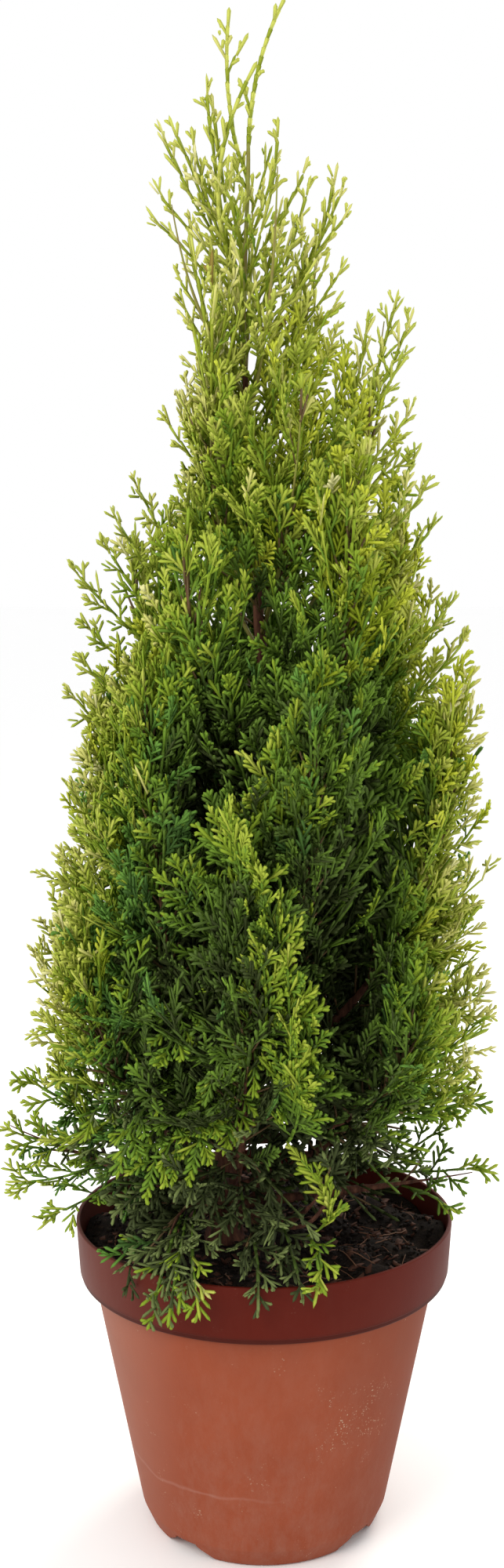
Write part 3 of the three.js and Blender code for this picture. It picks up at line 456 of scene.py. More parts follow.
# In each row: the three points of a frond's curve, the direction that it is flat in and, where its style
# doesn't say, the shades at its foot and its tip. The foot's shade is dark with painted shade, and the tip is
# paler, partly as young growth and partly as painted light.
FEATURES = [
    # Hanging over the rim, left of the middle.
    (HANGING, [
        (-46, -62, 214, -52, -110, 218, -62, -122, 176, 1, 0.2, 0.1, 1.2, 3.4),
        (-40, -66, 216, -42, -110, 214, -36, -122, 184, 0.9, 0.3, 0.3, 1.6, 4.4),
        (-44, -68, 214, -46, -112, 216, -51, -123, 180, 0.9, 0.3, 0.3, 1.4, 4.0),
        (-12, -66, 214, -3, -104, 218, -3, -119, 184, 1, 0, 0, 0.9, 2.0),
        (6, -68, 214, 15, -100, 216, 20, -116, 188, 1, 0.1, 0, 1.0, 2.4),
    ]),
    # A fringe of drooping sprays in front of the trunk.
    (FRINGE, [
        (-50, -50, 300, -68, -92, 290, -76, -104, 262, 1, -0.2, 0.2),
        (-40, -52, 300, -56, -96, 284, -62, -106, 250, 1, 0.1, 0.2),
        (-30, -50, 300, -44, -96, 288, -50, -108, 256, 1, 0.2, 0.1),
        (-20, -48, 302, -32, -94, 292, -38, -108, 260, 1, 0, 0.3),
        (-10, -44, 312, -16, -88, 300, -20, -104, 272, 1, 0.3, 0),
        (-12, -46, 340, -22, -92, 334, -28, -108, 304, 1, -0.2, 0.2),
        (2, -46, 344, -2, -90, 338, -6, -108, 308, 1, 0.2, 0.2),
        (-30, -46, 350, -46, -88, 344, -54, -106, 316, 1, 0.2, 0),
    ]),
    # The low front bough lies bare over the soil, and forks into a bright spray that turns up and one that
    # hangs.
    (TURNED_UP, [
        (24, -92, 211, 54, -98, 226, 18, -95, 257, 0.6, 0.5, 0.4, 3.6, 4.4),
    ]),
    (TURNED_DOWN, [
        (24, -92, 211, 36, -106, 208, 29, -118, 192, 0.8, 0.4, 0.3, 3.2, 5.0),
    ]),
    # A row of bright fronds that stand edge-on in front of the crown, one above the other.
    (EDGE_ON, [
        (9, -92, 275, 15, -125, 305, 14, -132, 347, 0.5, -1, 0.2),
        (7, -92, 299, 16, -127, 333, 12, -132, 375, 0.3, -1, 0.3),
        (3, -92, 331, 13, -127, 361, 6, -132, 403, 0.5, -1, 0.2),
        (-5, -92, 359, 6, -127, 389, -5, -132, 431, 0.2, -1, 0.3),
        (-13, -88, 379, -7, -125, 413, -19, -130, 453, 0.5, -1, 0.1),
        (13, -92, 265, 21, -125, 287, 18, -132, 319, 0.8, -0.8, 0.2),
        (-1, -90, 313, 3, -124, 343, -1, -130, 385, 0.6, -0.8, 0.3),
        (17, -88, 283, 25, -122, 313, 23, -128, 351, 0.7, -0.8, 0.2),
    ]),
    # Tufts above it.
    (PLAIN, [
        (-8, -66, 372, -16, -106, 410, -18, -110, 446, 1, 0.2, 0.1, 2.2, 3.8),
        (-10, -68, 360, -34, -106, 390, -44, -110, 420, 0.8, 0.3, 0.4, 2.0, 3.6),
        (2, -62, 412, 4, -100, 446, 8, -102, 484, 1, 0.3, 0, 2.8, 4.7),
        (6, -62, 402, 16, -104, 436, 20, -108, 466, 1, -0.4, 0.2, 2.6, 4.5),
    ]),
    # Lax sprays that reach past the rim on both sides.
    (LAX, [
        (-88, -20, 244, -126, -30, 238, -152, -30, 252, 0.3, 0.8, 0.6, 2.8, 5.0),
        (-88, -28, 234, -120, -44, 224, -146, -46, 226, 0.2, 0.9, 0.4, 2.6, 4.8),
        (-84, -40, 226, -110, -56, 214, -124, -58, 210, 0.2, 0.9, 0.4, 2.0, 4.2),
        (-86, -10, 250, -118, -12, 260, -142, -14, 278, 0.4, 0.6, 0.7, 2.4, 4.8),
        (66, 0, 216, 90, 0, 228, 112, 0, 246, 0.2, 0.8, 0.6, 0.6, 4.2),
        (78, 0, 216, 108, -4, 216, 132, -6, 220, 0.2, 0.8, 0.6, 0.8, 4.4),
        (84, -16, 212, 104, -24, 210, 110, -30, 203, 0.2, 0.8, 0.6, 0.8, 3.8),
        (70, 4, 252, 100, 0, 258, 132, -4, 264, 0.4, 0.6, 0.7, 1.2, 4.8),
        (64, -20, 248, 92, -20, 266, 122, -20, 262, 0.4, 0.6, 0.7, 1.2, 4.8),
    ]),
    # The right plume's tips, and the long shoots of the top.
    (PLUME_TIP, [
        (62, 0, 680, 68, 0, 708, 77, -2, 740, 0.8, 0.5, -0.3),
        (56, 0, 668, 74, -2, 694, 86, -2, 730, 0.8, 0.5, -0.3),
        (48, 0, 662, 56, -2, 694, 60, -4, 728, 0.8, 0.5, -0.3),
        (50, 0, 650, 68, -4, 676, 80, -6, 705, 0.8, 0.5, -0.3),
        (52, -2, 634, 74, -6, 654, 88, -8, 678, 0.8, 0.5, -0.3),
    ]),
    # Young sprays between it and the trunk.
    (YOUNG, [
        (-4, 0, 620, 20, -6, 664, 40, -8, 712, 0.8, 0.5, 0.2),
        (0, 0, 600, 28, -4, 646, 52, -6, 702, 0.7, 0.5, -0.3),
        (-2, 2, 644, 20, 4, 686, 32, 2, 728, 0.8, -0.4, 0.2),
        (8, 0, 590, 40, -8, 628, 62, -10, 676, 0.8, 0.4, -0.3),
        (-4, -4, 660, 12, -14, 694, 22, -18, 728, 0.8, 0.5, 0.1),
    ]),
    (OPEN, [
        (-20, -2, 758, -44, -4, 794, -61, -4, 834, 0.8, 0.6, 0.4),
        (-30, -4, 776, -38, -6, 804, -55, -6, 836, 0.8, 0.6, 0.4),
        (-26, -4, 772, -35, -6, 798, -42, -6, 830, 0.8, 0.6, 0.4),
        (-18, 0, 744, -40, 4, 774, -66, 4, 802, 0.6, 0.7, 0.5),
        (-16, 2, 726, -42, 6, 768, -68, 6, 784, 0.5, 0.8, 0.5),
        (-24, -8, 784, -30, -10, 820, -33, -10, 857, 0.9, 0.5, 0.2),
        (-22, -6, 790, -26, -8, 816, -30, -8, 848, 0.9, 0.4, 0.3),
        (0, 0, 780, 7, 0, 806, 8, 0, 837, 0.9, 0.5, 0),
        (-6, 0, 790, -12, 0, 800, -17, 0, 812, 0.9, 0.5, 0),
        (4, 2, 770, 16, 2, 792, 26, 2, 815, 0.8, 0.6, 0),
        (16, 4, 744, 38, 4, 774, 41, 4, 812, 0.8, 0.6, -0.2),
        (16, 0, 738, 32, 0, 770, 51, 0, 786, 0.6, 0.7, -0.5),
        (20, 2, 744, 36, 2, 776, 47, 2, 803, 0.7, 0.6, -0.4),
        (10, 2, 750, 20, 2, 778, 27, 2, 804, 0.8, 0.5, -0.2),
        (6, -2, 706, 30, -2, 728, 48, -2, 758, 0.6, 0.7, -0.4),
        (8, -2, 712, 26, -2, 736, 38, -2, 761, 0.7, 0.6, -0.4),
        (4, -4, 696, 28, -4, 718, 46, -4, 738, 0.5, 0.7, -0.6),
        (-16, 0, 694, -34, 0, 726, -53, 0, 754, 0.6, 0.7, 0.5),
        (-16, 0, 684, -36, 0, 712, -50, 0, 740, 0.6, 0.7, 0.5),
        (-16, 0, 662, -32, 0, 692, -44, 0, 725, 0.6, 0.7, 0.5),
        (-20, -2, 634, -38, -4, 660, -47, -6, 694, 0.6, 0.7, 0.5),
        (-24, -2, 622, -44, -4, 646, -60, -6, 674, 0.6, 0.7, 0.5),
    ]),
    # Single light sprays that stand out at the crown's left, under its shoulder, and at its right above it.
    (SINGLE, [
        (-54, 0, 592, -64, -4, 612, -78, -6, 636, 0.7, 0.6, 0.3),
        (-62, -4, 572, -74, -8, 592, -90, -10, 616, 0.7, 0.6, 0.3),
        (-64, 4, 552, -80, 2, 574, -96, 0, 600, 0.7, 0.6, 0.3),
        (-72, -4, 542, -94, -10, 560, -114, -12, 586, 0.7, 0.6, 0.3),
        (-72, 0, 520, -92, -2, 534, -108, -6, 554, 0.7, 0.6, 0.3),
        (-74, -8, 500, -94, -12, 514, -110, -14, 532, 0.7, 0.6, 0.3),
        (-82, 0, 476, -102, -4, 492, -117, -6, 514, 0.7, 0.6, 0.3),
        (56, 0, 600, 76, -2, 622, 90, -4, 652, 0.7, 0.6, -0.3),
        (54, -6, 584, 78, -8, 604, 97, -10, 634, 0.7, 0.6, -0.3),
        (60, 4, 566, 84, 2, 586, 103, 0, 612, 0.7, 0.6, -0.3),
        (72, 0, 520, 94, -4, 540, 112, -6, 566, 0.7, 0.6, -0.3),
        (80, 2, 498, 104, 0, 520, 122, -2, 546, 0.7, 0.6, -0.3),
    ]),
]


def feature_fronds():
    """The fronds that show on their own, each with the options of its style."""
    fronds = []
    for style, rows in FEATURES:
        for row in rows:
            start, middle, end, across = np.array(row[:12], float).reshape(4, 3)
            length = np.linalg.norm(middle - start) + np.linalg.norm(end - middle)
            shades = dict(zip(("shade", "tip_shade"), row[12:]))
            fronds.append(dict(points=(start, middle, end), across=unit(across), length=length, **style,
                               **shades))
    return fronds


# Long shoots of the top: bare but for a few short branchlets, at these shares of their length. Each has a
# length, negative to the left.
SHOOT_BRANCHLETS = dict(
    leader_right=[(0.08, -7), (0.2, 7), (0.24, 19), (0.48, -5), (0.87, 9)],
    leader_left=[(0.12, -7), (0.26, 8), (0.72, -26), (0.79, 16), (0.86, -6), (0.9, 11)],
    crossing_shoot=[(0.1, 14), (0.17, -14), (0.27, 12), (0.36, -12), (0.5, 9), (0.6, -10), (0.72, 12),
                    (0.84, -7)])
SHOOT_STEPS = 16

# ---- Shades: one plain colour for each step, from the painted shade of the crown's dark inside to its pale tips ----
LEAF_COLOURS = dict(deep="404b26", shaded="50652b", dark="5a742a", green="6b8b2d", fresh="849c2c",
                    light="a2b13e", bright="b5bd52", pale="cdcc74", cream="dbd898", cool_dark="44632c",
                    cool_light="628b39", olive="83931f", gold="bdc63e", bronze="8f7b3a", dusty_dark="414a2a",
                    dusty_light="6d7a46", straw_dark="8c992c", straw="bfc45a")
SHADES = list(LEAF_COLOURS)
PALEST = SHADES.index("cream")
DARK_SHADES = ("deep", "shaded", "dark", "cool_dark", "dusty_dark")
GREEN_SHADES = ("green", "fresh", "cool_light", "olive", "bronze", "dusty_light", "straw_dark")
# Some sprigs take another tint: its darker shade, its lighter shade, the step from which it is the lighter
# one, and the step from which its tips keep the plain shades.
TINTS = dict(cool=("cool_dark", "cool_light", 3, 9), gold=("olive", "gold", 5, 9),
             bronze=("bronze", "bronze", 0, 9), dusty=("dusty_dark", "dusty_light", 2, 4),
             straw=("straw_dark", "straw", 5, 7))
# Shade steps by height: in the crown's front middle, darker as painted shade, and at its sides, brighter as
# painted light.
MIDDLE_STEPS_PAINTED_SHADE = [(190, 0.5), (260, 0.7), (340, 0.8), (420, 1.3), (480, 2.2), (540, 3.2), (600, 4.6),
                (680, 5.5), (760, 5.5), (840, 5.7)]
SIDE_STEPS_PAINTED_LIGHT = [(190, 3.7), (260, 5.2), (340, 5.9), (420, 6.0), (480, 6.0), (560, 6.2), (600, 6.3),
              (680, 6.2), (760, 5.7), (840, 5.7)]
# Heights between which the crown changes: to loose sprigs, to straw, to gold, to an outer shell with more
# gaps, to sprigs that turn up, and to softer contrast.
AIRY_HEIGHTS = (640, 800)
STRAW_HEIGHTS = (680, 840)
GOLD_HEIGHTS = (420, 560)
SHELL_HEIGHTS = (430, 560)
UPRIGHT_HEIGHTS = (380, 560)
CONTRAST_HEIGHTS = (360, 600)
DUSTY_BELOW = 300
COOL_BELOW = 500
COOL_SHADES = (1.2, 4.6)
GOLD_FROM = 3.2
TINTED = 0.9  # the share that is straw at the top, and dusty at the foot
COARSE_BELOW = 500
BRONZE_HEIGHTS = (540, 760)
# Where the painted light on the crown's sides begins, on its left and on its right, and the share over which
# it grows.
LIT_FROM_LEFT, LIT_FROM_RIGHT, LIT_OVER = 0.31, 0.36, 0.6
# Depths within the crown over which its inside darkens with painted shade; the deepest sprigs are also
# coarse.
INNER_DEPTHS = (14, 70)


def shade_at(places):
    """The shade step that sprigs take at a place: brighter upwards, with painted light towards the crown's
    sides and painted shade in its front middle and deep within.
    """
    x, y, z = places.T
    across = np.abs(x) / reach_at(z, np.where(x > 0, 0.0, np.pi))
    around = 0.76 * np.hypot(x, y) / reach_of(places)
    lit = np.where(x < 0, LIT_FROM_LEFT, LIT_FROM_RIGHT)
    # Painted light: sprigs towards the crown's sides take brighter steps, and those in its front middle
    # darker ones, as painted shade.
    side = smooth(lerp(across, np.maximum(across, around), smooth(y, -10, 50)), lit, lit + LIT_OVER)
    inner = smooth(reach_of(places) - np.hypot(x, y), *INNER_DEPTHS)
    shade = lerp(eased(MIDDLE_STEPS_PAINTED_SHADE, z), eased(SIDE_STEPS_PAINTED_LIGHT, z), side)
    # Painted shade: sprigs deep within the crown take darker steps, less so near its top.
    return shade - 1.3 * inner * (1 - smooth(z, 560, 760) * 0.7), inner


def tint_at(place, own, draw):
    """The tint of a sprig that grows at a place and has a shade of its own, by the luck of the draw."""
    x, z = place[0], place[2]
    low_left = smooth(-x, 10, 80) * smooth(COOL_BELOW - z, 0, 80)
    cool_from = 0.94 - 0.44 * low_left + 0.045 * smooth(z, COOL_BELOW, COOL_BELOW + 80)
    # Gold sprigs grow commoner towards the right: partly a tone of their own, partly painted light where
    # light shines through the leaves.
    right = smooth(x, -20, 80) * smooth(z, *GOLD_HEIGHTS)
    if own > GOLD_FROM and draw < 0.05 + 0.5 * right:
        return "gold"
    if COOL_SHADES[0] < own < COOL_SHADES[1] and draw > cool_from:
        return "cool"
    if z < DUSTY_BELOW and draw < TINTED * smooth(DUSTY_BELOW - z, 0, 50):
        return "dusty"
    if BRONZE_HEIGHTS[0] < z < BRONZE_HEIGHTS[1] and draw > 0.995:
        return "bronze"
    return None


class Branchlets:
    """Gathers rows of start, aim, side, length, width and shade, one for each branchlet."""

    def __init__(self):
        self.blocks = []

    def add(self, start, aim, side, *measures):
        columns = [np.broadcast_to(np.asarray(c, float), len(start))[:, None] for c in measures]
        self.blocks.append(np.hstack([start, aim, side, *columns]))

    def rows(self):
        return np.concatenate(self.blocks)


def place_sprig(branchlets, rows, scale, root, along, across, shade, rng, tint=None, contrast=2.0):
    """Lays a sprig at its root, cupped a little along its length."""
    across = across - along * (across @ along)
    across = across / max(np.linalg.norm(across), 1e-9)
    basis = np.stack([along, across, np.cross(along, across)])
    start, aim = rows[:, 0:3] * scale, rows[:, 3:6].copy()
    cup = rng.normal(0.1, 0.22) / max(start[:, 0].max(), 1)
    start = start + np.outer(cup * start[:, 0] ** 2, UP)
    aim[:, 2] += 2 * cup * start[:, 0] * aim[:, 0]
    aim = unit(aim)
    side = unit(np.cross(UP, aim))
    age = rows[:, 8]
    step = shade + contrast * (age - 0.65) + rng.normal(0, 0.25, len(rows))
    step = np.clip(np.round(step), 0, PALEST).astype(int)
    if tint:
        darker, lighter, limit, until = TINTS[tint]
        tinted = np.where(step >= limit, SHADES.index(lighter), SHADES.index(darker))
        step = np.where(step < until, tinted, step)
    branchlets.add(root + start @ basis, aim @ basis, side @ basis, rows[:, 6] * scale, rows[:, 7], step)


# ---- Dressing the fronds ----
# The first of a pair holds where the crown is close or low, the second where it is airy or high.
SPRIG_GAPS = (6.4, 9.0)
SPRIG_SHARES = (0.46, 0.4)  # of the frond's length
SPRIG_LIFTS = (0.1, 0.42)
CONTRASTS = (2.8, 2.0)
SPRIG_ANGLES = (50, 30)  # at the frond's foot and at its tip
LEAST_SPRIG, LAST_SPRIG = 9, 11
SHELL = (0.66, 0.92)
EDGE = (0.72, 0.95)
BARE_FROM = (0.15, 0.6)
COARSE_FROM = 0.55
FROND_LUCK, SPRIG_LUCK = 0.45, 0.6  # how far their shades scatter
TWIG_STEP = 10
TWIG_RADII = (0.9, 0.6)


def grow_twig(branchlets, twigs, piece, shade, woody, airy, rng):
    """The twig that a frond's sprigs sit on: brown at its foot, then green with scale leaves."""
    cuts = np.linspace(0, 1, max(3, int(piece["length"] / TWIG_STEP)) + 1)[:, None]
    line = arc(piece["points"], cuts)
    line = line[:-1] if len(line) > 4 else line
    bare = max(2, int(len(line) * 0.4)) if woody else 0
    if woody:
        twigs.append((line[:bare + 1], np.linspace(*TWIG_RADII, bare + 1)))
    start, end = line[bare:-1], line[bare + 1:]
    if not len(start):
        return
    vector = end - start
    long = np.linalg.norm(vector, axis=1)
    vector = vector / long[:, None]
    side = unit(np.cross(np.broadcast_to(piece["across"], vector.shape), vector))
    shade = np.clip(np.round(float(np.mean(shade)) - 0.6 + rng.normal(0, 0.3, len(start))), 0, PALEST)
    if airy > 0.5:
        shade = SHADES.index("straw_dark")
    width = BRANCHLET_WIDTH * lerp(0.9, 1.05, airy)
    branchlets.add(start, vector, np.cross(vector, side), long * 1.1, width, shade)


def dress_frond(branchlets, twigs, piece, rng):
    """Sets the sprigs of one frond on its twig, alternately left and right, with one at its end."""
    a, b, c = piece["points"]
    length = piece["length"]
    feature = "shade" in piece
    airy = float(smooth(c[2], *AIRY_HEIGHTS))
    at = np.arange(length * rng.uniform(0.08, 0.18), length * 0.9, piece.get("gap", lerp(*SPRIG_GAPS, airy)))
    at = np.append(at + rng.normal(0, 0.8, len(at)), length * 0.84)
    t = np.clip(at / length, 0, 1)[:, None]
    place = arc(piece["points"], t)
    tangent = unit((b - a) * (1 - t) + (c - b) * t)
    across = unit(piece["across"] - tangent * (tangent @ piece["across"])[:, None])
    normal = np.cross(tangent, across)
    t = t[:, 0]
    m = len(t)
    sign = np.where(np.arange(m) % 2 == 0, 1.0, -1.0) * rng.choice([-1, 1])
    angle = np.radians(lerp(*SPRIG_ANGLES, t) + rng.normal(0, 6, m)) * sign
    tilt = rng.normal(0, 0.3, m)[:, None]
    size = piece.get("sprig_share", lerp(*SPRIG_SHARES, airy)) * length
    size = size * (1 - t) ** 0.7 * np.minimum(1, 0.5 + 1.4 * t) + piece.get("least", LEAST_SPRIG)
    size *= rng.uniform(0.8, 1.15, m) * lerp(1, 1.14, smooth(from_axis(place) / reach_of(place), 0.7, 0.9))
    angle[-1] = 0
    size[-1] = length * 0.16 + piece.get("last", LAST_SPRIG)
    size = np.clip(size, SPRIG_LENGTHS[0], SPRIG_LENGTHS[-1])
    angle = angle[:, None]
    aim = (tangent * np.cos(angle) + across * np.sin(angle) * np.cos(tilt)
           + normal * (np.sin(tilt) * np.abs(np.sin(angle)))
           + UP * lerp(*SPRIG_LIFTS, smooth(place[:, 2:], *UPRIGHT_HEIGHTS)))
    aim = unit(aim)
    flat = across * np.cos(angle) - tangent * np.sin(angle) + normal * rng.normal(0, 0.35, m)[:, None]
    tips = place + aim * size[:, None]
    keep = np.ones(m, bool)
    if not feature:
        share = from_axis(tips) / close_reach(tips)
        keep = (share < 1) & clear_of_wood(tips) & ~within(tips, HOLLOWS) & ~within(place, HOLLOWS)
        keep &= ~within(tips, THIN) | (rng.random(m) < THIN_SHARE)
        missing = lerp(LOW_SHELL_GAPS, SHELL_GAPS, smooth(tips[:, 2], *SHELL_HEIGHTS))
        keep &= rng.random(m) > missing * smooth(share, *SHELL)
    shade, inner = shade_at(tips)
    outer = 0.7 * smooth(from_axis(tips) / reach_of(tips), *EDGE) + 0.6 * smooth(250 - tips[:, 2], 0, 30)
    # A feature frond's shade runs from its foot, in painted shade, to its paler tip.
    if feature:
        shade = lerp(piece["shade"], piece["tip_shade"], t)
    shade = shade + rng.normal(0, FROND_LUCK) * (0.5 if feature else 1)
    for k in np.flatnonzero(keep):
        index = int(np.argmin(np.abs(np.log(size[k] / SPRIG_LENGTHS))))
        thin = outer[k] > rng.random()
        kind = "bare" if airy > rng.uniform(*BARE_FROM) else "lax" if thin else "full"
        kind = piece.get("kind") or ("coarse" if inner[k] > COARSE_FROM and c[2] < COARSE_BELOW else kind)
        rows = SPRIGS[kind][index][rng.integers(VARIANTS)]
        own = shade[k] + rng.normal(0, 0.4 if feature else SPRIG_LUCK)
        draw = rng.random()
        height = tips[k, 2]
        tint = piece.get("tint") if feature else tint_at(tips[k], own, draw)
        if draw < TINTED * smooth(height, *STRAW_HEIGHTS):
            tint = "straw"
        contrast = piece.get("contrast", lerp(*CONTRASTS, float(smooth(height, *CONTRAST_HEIGHTS))))
        place_sprig(branchlets, rows, size[k] / SPRIG_LENGTHS[index], place[k], aim[k], flat[k], own, rng,
                    tint, contrast)
    grow_twig(branchlets, twigs, piece, shade, not (airy > 0.4 or feature), airy, rng)


def dress_shoot(branchlets, plume, rng):
    """A long shoot of the top: a scaly green rod with a few short branchlets."""
    cuts = np.linspace(0, 1, SHOOT_STEPS + 1)
    line = bezier(plume["points"], cuts)
    vector = line[1:] - line[:-1]
    long = np.linalg.norm(vector, axis=1)
    vector = vector / long[:, None]
    front = np.array([0.2, -1.0, 0.1])
    side = unit(np.cross(vector, front))
    darker, lighter = SHADES.index("straw_dark"), SHADES.index("straw")
    shade = np.where(rng.random(SHOOT_STEPS) < lerp(0.35, 0.7, cuts[:-1]), lighter, darker)
    branchlets.add(line[:-1], vector, side, long * 1.2, lerp(3.2, 2.4, cuts[:-1]), shade)
    for share, reach in SHOOT_BRANCHLETS[plume["name"]]:
        root = bezier(plume["points"], share)
        along = bezier_along(plume["points"], share)
        out = unit(np.cross(along, front)) * math.copysign(1, -reach)
        turn = math.radians(rng.uniform(22, 32))
        aim = unit(along * math.cos(turn) + out * math.sin(turn) + front * rng.normal(0, 0.2))
        index = int(np.argmin(np.abs(np.array(SPRIG_LENGTHS) - abs(reach))))
        rows = SPRIGS["rod"][index][rng.integers(VARIANTS)]
        place_sprig(branchlets, rows, abs(reach) / SPRIG_LENGTHS[index], root, aim,
                    out - front * rng.normal(0, 0.15), lerp(4.8, 6.0, share), rng, "straw")


def grow_crown():
    """All the branchlets of the crown, and the twigs under them."""
    rng = np.random.default_rng(CROWN_SEED)
    branchlets, twigs = Branchlets(), []
    for index, plume in enumerate(PLUMES):
        if plume["kind"] == "shoot":
            dress_shoot(branchlets, plume, rng)
            continue
        for piece in grow_fronds(index, plume, rng):
            dress_frond(branchlets, twigs, piece, rng)
    for piece in inner_fronds(rng) + feature_fronds():
        dress_frond(branchlets, twigs, piece, rng)
    return branchlets.rows(), twigs


# ---- Materials ----
def linear(colour):
    """An sRGB hex colour as linear RGBA."""
    channels = [int(colour[k:k + 2], 16) / 255 for k in (0, 2, 4)]
    return (*[c / 12.92 if c <= 0.04045 else ((c + 0.055) / 1.055) ** 2.4 for c in channels], 1.0)


def per(size):
    """The scale of a pattern whose features are this many millimetres across."""
    return 1 / (size * MM)


def connect(material, target, inputs):
    """Sets a node's inputs: each is a value, or a node or an output to link. _ stands for a space."""
    for name, value in inputs.items():
        socket = target.inputs[name.replace("_", " ") if isinstance(name, str) else name]
        if isinstance(value, bpy.types.Node):
            value = next(output for output in value.outputs if output.enabled)
        if isinstance(value, bpy.types.NodeSocket):
            material.node_tree.links.new(value, socket)
        else:
            socket.default_value = value


def surface(material, **inputs):
    """Sets or links the sockets of a material's own shader."""
    connect(material, material.node_tree.nodes["Principled BSDF"], inputs)
    return material


def new_material(name, **inputs):
    material = bpy.data.materials.new(name)
    material.use_nodes = True
    return surface(material, **inputs)


def node(material, kind, inputs=None, **settings):
    """A shader node with its settings and its inputs."""
    made = material.node_tree.nodes.new("ShaderNode" + kind)
    for name, value in settings.items():
        setattr(made, name, value)
    connect(material, made, inputs or {})
    return made


def mottle(material, pattern, *stops):
    """Colours a material by a pattern: at each stop, the pattern's value and the colour that it has there."""
    ramp = node(material, "ValToRGB", dict(Fac=pattern))
    steps = ramp.color_ramp.elements
    while len(steps) < len(stops):
        steps.new(0.5)
    for step, (position, colour) in zip(steps, stops):
        step.position, step.color = position, linear(colour)
    return surface(material, Base_Color=ramp)


def leaf_material(shade):
    """Living scale leaves: waxy, so they shine softly. Each shade is a plain colour."""
    return new_material(f"scale_leaf_{shade}", Base_Color=linear(LEAF_COLOURS[shade]), Roughness=0.6,
                        Specular_IOR_Level=0.1)


# ---- Meshes ----
def only(piece):
    """Makes a piece the only one that is selected, and the active one."""
    bpy.ops.object.select_all(action="DESELECT")
    piece.select_set(True)
    bpy.context.view_layer.objects.active = piece


def close_shell(weld=False):
    """Closes the open ends of the active piece and turns its faces outwards."""
    bpy.ops.object.mode_set(mode="EDIT")
    bpy.ops.mesh.select_all(action="SELECT")
    if weld:
        bpy.ops.mesh.remove_doubles(threshold=0.00001)
    bpy.ops.mesh.fill_holes(sides=0)
    bpy.ops.mesh.select_all(action="SELECT")
    bpy.ops.mesh.normals_make_consistent(inside=False)
    bpy.ops.object.mode_set(mode="OBJECT")


def corners_of(piece):
    """The corners of a piece's mesh, in metres."""
    corners = np.empty(len(piece.data.vertices) * 3)
    piece.data.vertices.foreach_get("co", corners)
    return corners.reshape(-1, 3)


def coat(piece, *materials):
    piece.data.materials.clear()
    for material in materials:
        piece.data.materials.append(material)


def copies(faces, corners, count):
    """The faces of many copies of one small shape, whose corners follow each other."""
    return (faces[None] + np.arange(count)[:, None, None] * corners).reshape(-1, faces.shape[1])


def mesh_piece(name, vertices, faces, material):
    """A finished piece from arrays of corners, in millimetres, and of faces."""
    mesh = bpy.data.meshes.new(name)
    mesh.vertices.add(len(vertices))
    mesh.vertices.foreach_set("co", (np.asarray(vertices) * MM).astype(np.float32).ravel())
    count, sides = faces.shape
    mesh.loops.add(count * sides)
    mesh.loops.foreach_set("vertex_index", np.asarray(faces, np.int32).ravel())
    mesh.polygons.add(count)
    mesh.polygons.foreach_set("loop_start", np.arange(0, count * sides, sides, dtype=np.int32))
    mesh.update(calc_edges=True)
    mesh.validate()
    mesh.materials.append(material)
    piece = bpy.data.objects.new(name, mesh)
    bpy.context.scene.collection.objects.link(piece)
    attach(piece, "root")
    return piece


# The corners of a branchlet along it, across it and over it: a slim keel, widest near its blunt tip. Two of
# its faces close the side at its foot.
KEEL = [(-0.06, -0.36, -0.3), (-0.06, 0.36, -0.3), (-0.06, 0, 0.5), (0.84, -0.5, -0.35), (0.84, 0.5, -0.35),
        (0.84, 0, 0.6), (1.04, 0, 0)]
KEEL_FACES = np.array([(0, 1, 4), (0, 4, 3), (1, 2, 5), (1, 5, 4), (2, 0, 3), (2, 3, 5), (3, 4, 6), (4, 5, 6),
                       (5, 3, 6), (0, 2, 1)])
MOST_BRANCHLETS = 19500  # in one piece


def keels(rows, rng):
    """The corners of the branchlets in rows, each with its ridge turned up or down at random."""
    start, aim, side = rows[:, 0:3], rows[:, 3:6], rows[:, 6:9]
    long, width = rows[:, 9:10], rows[:, 10:11]
    side = side * rng.choice([-1.0, 1.0], size=(len(rows), 1))
    face = np.cross(aim, side)
    thick = BRANCHLET_THICK * width / BRANCHLET_WIDTH
    return np.stack([start + aim * long * along + side * width * across + face * thick * rise
                     for along, across, rise in KEEL], axis=1)


def build_foliage():
    rows, twigs = grow_crown()
    shades = rows[:, 11].astype(int)
    corners = keels(rows, np.random.default_rng(RIDGE_SEED))
    slot_of = {**dict.fromkeys(DARK_SHADES, "foliage_dark"), **dict.fromkeys(GREEN_SHADES, "foliage_green")}
    first = True
    for k, shade in enumerate(SHADES):
        chosen = corners[shades == k]
        material = leaf_material(shade)
        for part, low in enumerate(range(0, len(chosen), MOST_BRANCHLETS)):
            block = chosen[low:low + MOST_BRANCHLETS]
            faces = copies(KEEL_FACES, len(KEEL), len(block))
            piece = mesh_piece(f"sprays_{shade}_{part + 1}", block.reshape(-1, 3), faces, material)
            if first:
                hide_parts(*MASSES)
                first = False
    return twigs


# ---- Wood ----
WOODY_TOP = 700  # above it the stem is still green
LIMB_END = 0.97
# The low front bough wanders bare over the soil before it turns up.
BARE_BOUGH = np.array([(-20, -8, 196), (-14, -60, 226), (16, -84, 192), (34, -84, 226)], float)


def bark_material():
    """Thuja bark: thin, dull, reddish-brown strips over a greyer ground."""
    material = new_material("thuja_bark", Roughness=0.85, Specular_IOR_Level=0.2)
    place = node(material, "TexCoord").outputs["Object"]
    strips = node(material, "Mapping", dict(Vector=place, Scale=(1, 1, 0.16)))
    patches = node(material, "TexNoise", dict(Vector=strips, Scale=per(3.0), Detail=4.0, Roughness=0.65))
    return mottle(material, patches, (0.34, "38211a"), (0.52, "5c3a2c"), (0.72, "7c523f"))


def stem_material():
    """A shoot of the last season: waxy olive green, ageing to brown in places."""
    material = new_material("green_stem", Roughness=0.55, Specular_IOR_Level=0.25)
    place = node(material, "TexCoord").outputs["Object"]
    patches = node(material, "TexNoise", dict(Vector=place, Scale=per(14), Detail=3.0, Roughness=0.6))
    return mottle(material, patches, (0.4, "868a3c"), (0.66, "7c6c3a"))


